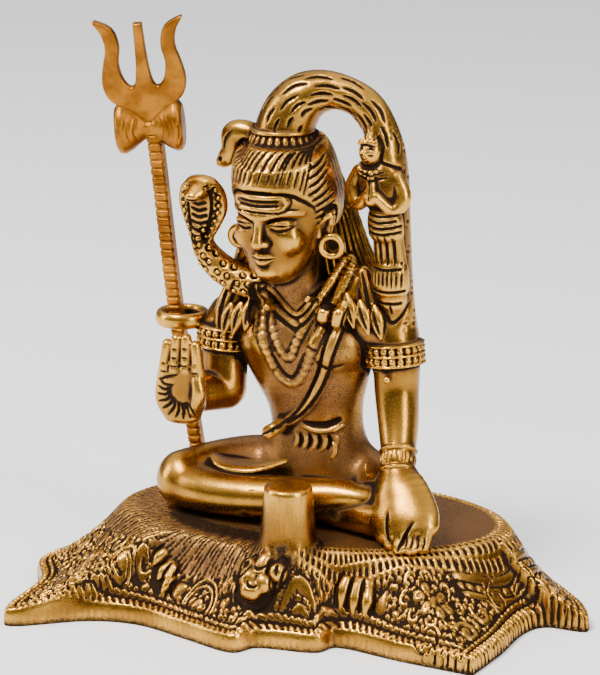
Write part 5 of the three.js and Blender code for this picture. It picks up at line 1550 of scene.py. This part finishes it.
def sculpt_post(clay):
    """The round post in front of the legs, flared at its foot and rounded at its top."""
    x, y, z = seated(np.array([(*POST_SPOT, 0)], float))[0]
    foot, top = POST_FOOT_RADIUS, POST_TOP_RADIUS
    profile = [(-1, -14), (foot + 2, -14), (foot + 1.6, -4), (foot + 0.9, -1), (foot + 0.2, 2),
               (foot - 0.4, 5), (top + 0.1, POST_HEIGHT - 1.4), (top - 0.3, POST_HEIGHT - 0.4),
               (top - 1.2, POST_HEIGHT), (-1, POST_HEIGHT)]
    clay.turned((x, y, z - SEAT_GAP), profile, soft=1.5)


FROM_ABOVE = unit((0, 0.8, -0.7))


def carve_from_above(clay, places, width, depth, heading=FROM_ABOVE):
    """Carves a line through places on the mound, met from 8 mm before them."""
    clay.stroke([np.array(place) - 8 * heading for place in places], width, depth, heading, reach=14)


def sculpt_paw(clay, plan, x, y, heading, size):
    """Claws below a low pad, with dark slots between them."""
    dx, dy = math.sin(math.radians(heading)), -math.cos(math.radians(heading))

    def along(reach, aside, lift):
        px, py = x + size * (reach * dx - aside * dy), y + size * (reach * dy + aside * dx)
        return px, py, plan.height_at(px, py) + size * lift

    clay.limb([(*along(-2.6, 0, -1), 5.4 * size, 1.8 * size),
               (*along(0.4, 0, -0.8), 6.4 * size, 1.8 * size)], side=np.array([-dy, dx, 0]), soft=1)
    for aside in (-4.8, 0, 4.8):
        clay.limb([(*along(-1.2, 0.9 * aside, 0), 1.9 * size), (*along(0.8, aside, 0.3), 2.2 * size),
                   (*along(3, 0.97 * aside, 0), 0.9 * size)], soft=0.3)
    for aside in (-7, -2.4, 2.4, 7):
        slot = [along(-2.4, 0.85 * aside, 0), along(0.6, aside, 0), along(3.2, aside, 0)]
        carve_from_above(clay, slot, 1.7 * size, 1.2, heading=-Z)


def sculpt_tiger(clay, plan):
    """The skin's head: a heart-shaped muzzle under a narrow bridge, with a ringed eye at each side of it."""
    def along(reach, aside, lift):
        px, py = TIGER_BROW[0] + aside - TIGER_LEAN * reach, TIGER_BROW[1] - reach
        return px, py, plan.height_at(px, py) + lift

    def cut(places, width, depth):
        carve_from_above(clay, [along(*place, 0) for place in places], width, depth)

    clay.limb([(*along(-0.5, 0, -0.6), 2, 1), (*along(2.4, 0, 0.6), 1.7, 1.4),
               (*along(4.4, 0, 1), 2.4, 1.8)], soft=0.4)
    for hand in (-1, 1):
        clay.ball(along(5.4, 2.2 * hand, 0.4), (3.1, 2.6, 3.4), soft=0.5)
    clay.ball(along(7.2, 0, 0.4), (3.4, 2.6, 3.2), soft=1)
    cut([(5.8, -1.6), (6.6, -0.8), (6.6, 0.8), (5.8, 1.6)], 0.9, 0.8)
    cut([(3.6, -2), (4.2, 0), (3.6, 2)], 0.9, 0.6)
    for hand in (-1, 1):
        low, far = 3.6 + 0.6 * hand, 5.2 + 0.6 * hand
        clay.ball(along(low, far * hand, 0), (2.9, 2.4, 3), soft=0.3)
        lid = ((-1.4, -2), (-2, 0), (-0.6, 2), (1.4, 1.4), (1.6, -0.6), (0.4, -1.8))
        cut([(low + down, (far + out) * hand) for down, out in lid], 1.0, 0.8)
        cut([(low - 0.6, (far - 0.4) * hand), (low + 0.6, (far + 0.4) * hand)], 1.2, 0.7)
        cut([(5, 6 * hand), (7.2, 5 * hand), (8.8, 3 * hand), (9.4, 0.4 * hand)], 1.2, 0.8)


def sculpt_base(clay, plan):
    lay_fur(plan)
    lay_ground(plan)
    lay_rim(plan)
    lay_bands(plan)
    for x, y, radius in CLEARED:
        plan.taken |= np.hypot(plan.x - x, plan.y - y) < radius
    lay_scrollwork(plan)
    clay_of_plan(plan, clay)
    sculpt_post(clay)
    sculpt_tiger(clay, plan)
    for paw in PAWS:
        sculpt_paw(clay, plan, *paw)


# The camera, the floor and the light

def seen_from(azimuth, elevation):
    """The direction away from the object, `azimuth` degrees round it from the front and `elevation` up."""
    a, e = math.radians(azimuth), math.radians(elevation)
    return Vector((math.sin(a) * math.cos(e), -math.cos(a) * math.cos(e), math.sin(e)))


def add_camera():
    back = seen_from(CAMERA_AZIMUTH, CAMERA_ELEVATION)
    right = seen_from(CAMERA_AZIMUTH + 90, 0)
    up = back.cross(right)
    target = (Vector(CAMERA_TARGET) + right * TARGET_RIGHT + up * TARGET_UP) / 1000
    camera = bpy.data.objects.new("camera", bpy.data.cameras.new("camera"))
    camera.data.lens = LENS
    camera.data.sensor_width = SENSOR
    camera.matrix_world = Matrix((right, up, back)).transposed().to_4x4()
    camera.location = target + back * CAMERA_DISTANCE
    bpy.context.scene.collection.objects.link(camera)
    bpy.context.scene.camera = camera


def add_area(name, azimuth, elevation, distance, size, power):
    """A soft light that faces the figure's middle."""
    back = seen_from(azimuth, elevation)
    light = bpy.data.objects.new(name, bpy.data.lights.new(name, "AREA"))
    light.data.shape = "RECTANGLE"
    light.data.size, light.data.size_y = size
    light.data.energy = power
    light.location = Vector((0, 0, LIT_HEIGHT)) + back * distance
    light.rotation_euler = back.to_track_quat("Z", "Y").to_euler()
    bpy.context.scene.collection.objects.link(light)


def add_floor():
    half = FLOOR_HALF
    mesh = bpy.data.meshes.new("floor")
    mesh.from_pydata([(-half, -half, 0), (half, -half, 0), (half, half, 0), (-half, half, 0)], [],
                     [(0, 1, 2, 3)])
    floor = bpy.data.objects.new("floor", mesh)
    bpy.context.scene.collection.objects.link(floor)
    material, tree, shader = new_material("pale_floor")
    shader.inputs["Base Color"].default_value = FLOOR_TONE
    shader.inputs["Roughness"].default_value = 0.9
    mesh.materials.append(material)


def add_studio():
    add_floor()
    bpy.context.scene.world = studio_world()
    for light in LIGHTS:
        add_area(*light)


def studio_world():
    """White light from above that fades to grey at the horizon."""
    world = bpy.data.worlds.new("studio")
    world.use_nodes = True
    tree = world.node_tree
    direction = add_node(tree, "ShaderNodeTexCoord").outputs["Generated"]
    rise = add_node(tree, "ShaderNodeSeparateXYZ", {0: direction}).outputs["Z"]
    tree.links.new(ramp(tree, rise, 0.15, 0.9, 0.12, 1.4), tree.nodes["Background"].inputs["Strength"])
    tree.nodes["Background"].inputs["Color"].default_value = (1, 1, 1, 1)
    return world


# The metal

def add_node(tree, kind, inputs=(), **settings):
    node = tree.nodes.new(kind)
    for key, value in settings.items():
        setattr(node, key, value)
    for key, value in dict(inputs).items():
        if isinstance(value, bpy.types.NodeSocket):
            tree.links.new(value, node.inputs[key])
        else:
            node.inputs[key].default_value = value
    return node


def new_material(name):
    material = bpy.data.materials.new(name)
    material.use_nodes = True
    return material, material.node_tree, material.node_tree.nodes["Principled BSDF"]


def attribute(tree, name):
    return add_node(tree, "ShaderNodeAttribute", attribute_name=name).outputs["Fac"]


def noise(tree, scale, detail=3):
    place = add_node(tree, "ShaderNodeTexCoord").outputs["Object"]
    return add_node(tree, "ShaderNodeTexNoise",
                    {"Vector": place, "Scale": scale, "Detail": detail}).outputs["Fac"]


def ramp(tree, value, low, high, to_low=0.0, to_high=1.0):
    """A value eased from one range to another."""
    return add_node(tree, "ShaderNodeMapRange", {"Value": value, "From Min": low, "From Max": high,
                                                 "To Min": to_low, "To Max": to_high},
                    interpolation_type="SMOOTHSTEP").outputs["Result"]


def math_node(tree, operation, first, second):
    return add_node(tree, "ShaderNodeMath", {0: first, 1: second}, operation=operation).outputs[0]


def plus(tree, first, second, weight):
    """The first value and `weight` times the second."""
    return math_node(tree, "ADD", first, math_node(tree, "MULTIPLY", second, weight))


def mixed(tree, share, first, second):
    node = add_node(tree, "ShaderNodeMix", data_type="RGBA")
    for socket, value in ((node.inputs[0], share), (node.inputs[6], first), (node.inputs[7], second)):
        if isinstance(value, bpy.types.NodeSocket):
            tree.links.new(value, socket)
        else:
            socket.default_value = value
    return node.outputs[2]


def antique_gold():
    """Gold polished where proud, brown where dull, black patina in its grooves, painted shade between and
    under parts.
    """
    material, tree, shader = new_material("antique_gold")
    hollow, wide, dull, ink_and_shade = [attribute(tree, name) for name in ("hollow", "wide", "dull", "ink_and_shade")]
    cloud, grain = noise(tree, 90), noise(tree, 2400, 2)
    # Painted shade: the wide hollow, where parts lie close, turns the gold deeper here and blacks it through
    # depth below
    proud = ramp(tree, plus(tree, hollow, wide, 0.7), -0.4, 0.0, 1.0, 0.15)
    bright = math_node(tree, "MULTIPLY", ramp(tree, cloud, 0.3, 0.6, 0.5, 1.0), proud)
    tone = mixed(tree, bright, GOLD_DEEP, GOLD_BRIGHT)
    worn = math_node(tree, "MULTIPLY", dull, ramp(tree, grain, 0.38, 0.6, 0.35, 1.0))
    tone = mixed(tree, math_node(tree, "MULTIPLY", worn, ramp(tree, hollow, -0.35, 0.0)), tone, BROWN_MATTE)
    depth = plus(tree, plus(tree, hollow, wide, 0.5), math_node(tree, "SUBTRACT", cloud, 0.5), 0.2)
    # The ink attribute holds the grooves' black patina, with painted shade and painted shadow spots added in
    # the marks
    worn_ink_and_shade = plus(tree, ink_and_shade, math_node(tree, "SUBTRACT", grain, 0.5), 0.6)
    spots = ramp(tree, plus(tree, grain, dull, 0.12), 0.63, 0.72)
    black = math_node(tree, "MAXIMUM", ramp(tree, depth, 0.0, 0.2), ramp(tree, worn_ink_and_shade, 0.15, 0.6))
    black = math_node(tree, "MAXIMUM", black, math_node(tree, "MULTIPLY", spots, 0.7))
    tree.links.new(mixed(tree, black, tone, BLACKING), shader.inputs["Base Color"])
    dark = math_node(tree, "MAXIMUM", black, math_node(tree, "MULTIPLY", worn, 0.6))
    tree.links.new(ramp(tree, dark, 0, 1, 1.0, 0.15), shader.inputs["Metallic"])
    tree.links.new(ramp(tree, dark, 0, 1, 0.26, 0.75), shader.inputs["Roughness"])
    tree.links.new(ramp(tree, dark, 0.3, 1, 0.5, 0.08), shader.inputs["Specular IOR Level"])
    bump = add_node(tree, "ShaderNodeBump", {"Height": grain, "Strength": 0.12, "Distance": 0.0004})
    tree.links.new(bump.outputs["Normal"], shader.inputs["Normal"])
    return material


def bare_gold():
    """The trident's plain orange gold, brushed and a little dull."""
    material, tree, shader = new_material("bare_gold")
    tone = mixed(tree, ramp(tree, noise(tree, 150), 0.35, 0.65), BARE_ORANGE, BARE_LIGHT)
    dark = ramp(tree, attribute(tree, "hollow"), 0.1, 0.5, 0, 0.7)
    tree.links.new(mixed(tree, dark, tone, BLACKING), shader.inputs["Base Color"])
    tree.links.new(ramp(tree, dark, 0, 1, 1.0, 0.4), shader.inputs["Metallic"])
    shader.inputs["Roughness"].default_value = 0.42
    return material


# Where the metal is sunk, blacked or dull, and where shade is painted on it

def spotted(points, places):
    """How near each point is to any of some places (x, y, z, radius), from 0 to 1."""
    value = np.zeros(len(points))
    for x, y, z, radius in places:
        distance = np.linalg.norm(points - (x, y, z), axis=1) / radius
        value = np.maximum(value, np.clip(1.5 - 1.5 * distance, 0, 1))
    return value


# The close hollow finds the grooves that hold black patina; the wide one finds where parts lie close, for
# painted shade
CLOSE_BY = 1.1
WIDE_AROUND = 4.5


def hollows(clay, points):
    """How sunk each point is among what lies close by and what lies wide around, and the black patina in its
    groove.
    """
    return {"hollow": 2 * clay.sample(points, clay.blurred(CLOSE_BY)) - 1,
            "wide": 2 * clay.sample(points, clay.blurred(WIDE_AROUND)) - 1,
            "ink_and_shade": clay.sample(points, clay.ink_and_shade)}


DULL_PLACES = [(-4, -2, 70, 9), (-18, 0, 18, 16), (0, -2, 22, 16), (14, 2, 22, 15), (0, -6, 36, 13),
               (10, -4, 40, 12), (-4, -4, 74, 11), (12, -4, 54, 9), (22, 4, 62, 9), (-22, 2, 62, 8),
               (10, 4, 104, 8), (9, 2, 90, 7), (0, -6, 48, 12), (-6, -6, 60, 10)]
# Painted shade: darker spots low on the legs, where they meet the seat, and round the right foot (x, y, z,
# radius)
FIGURE_PAINTED_SHADE = [(-34, -15, 3, 4), (-12, -20, 2.4, 5), (6, -12, 4, 6), (30, -12, 14, 4), (16, -17, 6, 4)]
# Painted shadow: a dark band on the seat below the right thigh, laid along this path
THIGH_SHADOW_PATH = [(-39, -6), (-35, -10.5), (-30, -14), (-25, -16), (-20, -17.4), (-15, -18.4), (-10, -19),
               (-6, -19.4)]
# Stains on the post and round its foot, then the painted shadow below the right thigh
BASE_STAINS_AND_THIGH_SHADOW = [(1.6, -32, 27, 4), (-6.6, -25.5, 30, 3.4), (-7, -24.5, 28, 3.6), (8, -38, 26, 4),
               (3, -33, 24, 5)]
BASE_STAINS_AND_THIGH_SHADOW += [(x, y, SEAT_HEIGHT, 9) for x, y in spline(THIGH_SHADOW_PATH, 3)]
# Painted shade on the mound's left and front slope, below the right leg
BASE_SHADES = [(-48, -10, 21, 16), (-34, -20, 22, 16), (-20, -27, 22, 16), (-9, -30, 22, 12)]


def figure_marks(clay, points):
    marks = hollows(clay, points)
    # The painted shade low on the legs is added to the ink attribute
    marks["ink_and_shade"] = np.maximum(marks["ink_and_shade"], 0.6 * spotted(points, FIGURE_PAINTED_SHADE))
    return {**marks, "dull": spotted(points, DULL_PLACES)}


def base_marks(clay, plan, points):
    marks = hollows(clay, points)
    i = np.clip(((points[:, 0] - plan.x[0, 0]) / plan.cell).round().astype(int), 0, plan.plain.shape[0] - 1)
    j = np.clip(((points[:, 1] - plan.y[0, 0]) / plan.cell).round().astype(int), 0, plan.plain.shape[1] - 1)
    low = (plan.ground + plan.raised)[i, j]
    on_plan = points[:, 2] < plan.height[i, j] + 0.3
    sunk = np.clip((-0.12 - low) / 0.4, 0, 1) * on_plan
    on_wall = plan.inward[i, j] < 1
    notched = np.clip(3 * plan.wall[i, j] - 0.7, 0, 1) * on_wall * (points[:, 2] > 1.2)
    # The rim's wall is darker towards its bottom
    darker_low_on_wall = 0.55 * np.clip((2.8 - points[:, 2]) / 2, 0, 1) * on_wall
    # spots holds the stains round the post and the painted shadow below the right thigh; shade is painted
    # shade on the mound's left
    spots, shade = 0.6 * spotted(points, BASE_STAINS_AND_THIGH_SHADOW), 0.35 * spotted(points, BASE_SHADES)
    for value in (sunk, notched, darker_low_on_wall, spots, shade):
        marks["ink_and_shade"] = np.maximum(marks["ink_and_shade"], value)
    smooth = np.clip((points[:, 2] - SEAT_HEIGHT + 3) / 3, 0, 1) * (points[:, 2] < SEAT_HEIGHT + 0.5)
    long_fur = left_share(plan)[i, j] * (plan.out[i, j] < FUR_REACH[2]) * 0.8
    return {**marks, "dull": np.where(on_plan, np.maximum(smooth, np.clip(long_fur, 0, 1)), 0)}


# The three pieces

def make_figure(material):
    clay = Clay(*FIGURE_BLOCK, FIGURE_CELL)
    for sculpt in (sculpt_body, sculpt_legs, sculpt_left_arm, sculpt_right_arm, sculpt_hair, sculpt_head,
                   sculpt_hairline, sculpt_ear_rims, sculpt_goddess, sculpt_cobra, sculpt_locks,
                   sculpt_garments, sculpt_jewels, sculpt_palm, sculpt_left_slots, sculpt_ring):
        sculpt(clay)
    z = (clay.low[2] + clay.cell * np.arange(clay.shape[2]))[None, None, :]
    clay.field = np.maximum(clay.field, -z.astype(np.float32))
    piece_from(clay, "seated_figure", "figure", material, FIGURE_FACES, seated,
               figure_marks)


def make_base(material):
    plan = Plan(BASE_CELL)
    low = (plan.x[0, 0], plan.y[0, 0], BASE_BLOCK_LOW)
    clay = Clay(low, (BASE_LENGTH / 2 + 1, BASE_DEPTH / 2 + 1, BASE_BLOCK_HIGH), BASE_CELL)
    sculpt_base(clay, plan)
    piece_from(clay, "tiger_skin_base", "base", material, BASE_FACES, as_they_are,
               lambda clay, points: base_marks(clay, plan, points))


def make_trident(material):
    clay = Clay(*TRIDENT_BLOCK, TRIDENT_CELL)
    sculpt_trident(clay)
    piece_from(clay, "trident_rod_and_fork", "trident", material, TRIDENT_FACES, as_they_are,
               hollows)


add_camera()
add_studio()
gold = antique_gold()
make_figure(gold)
make_base(gold)
make_trident(bare_gold())
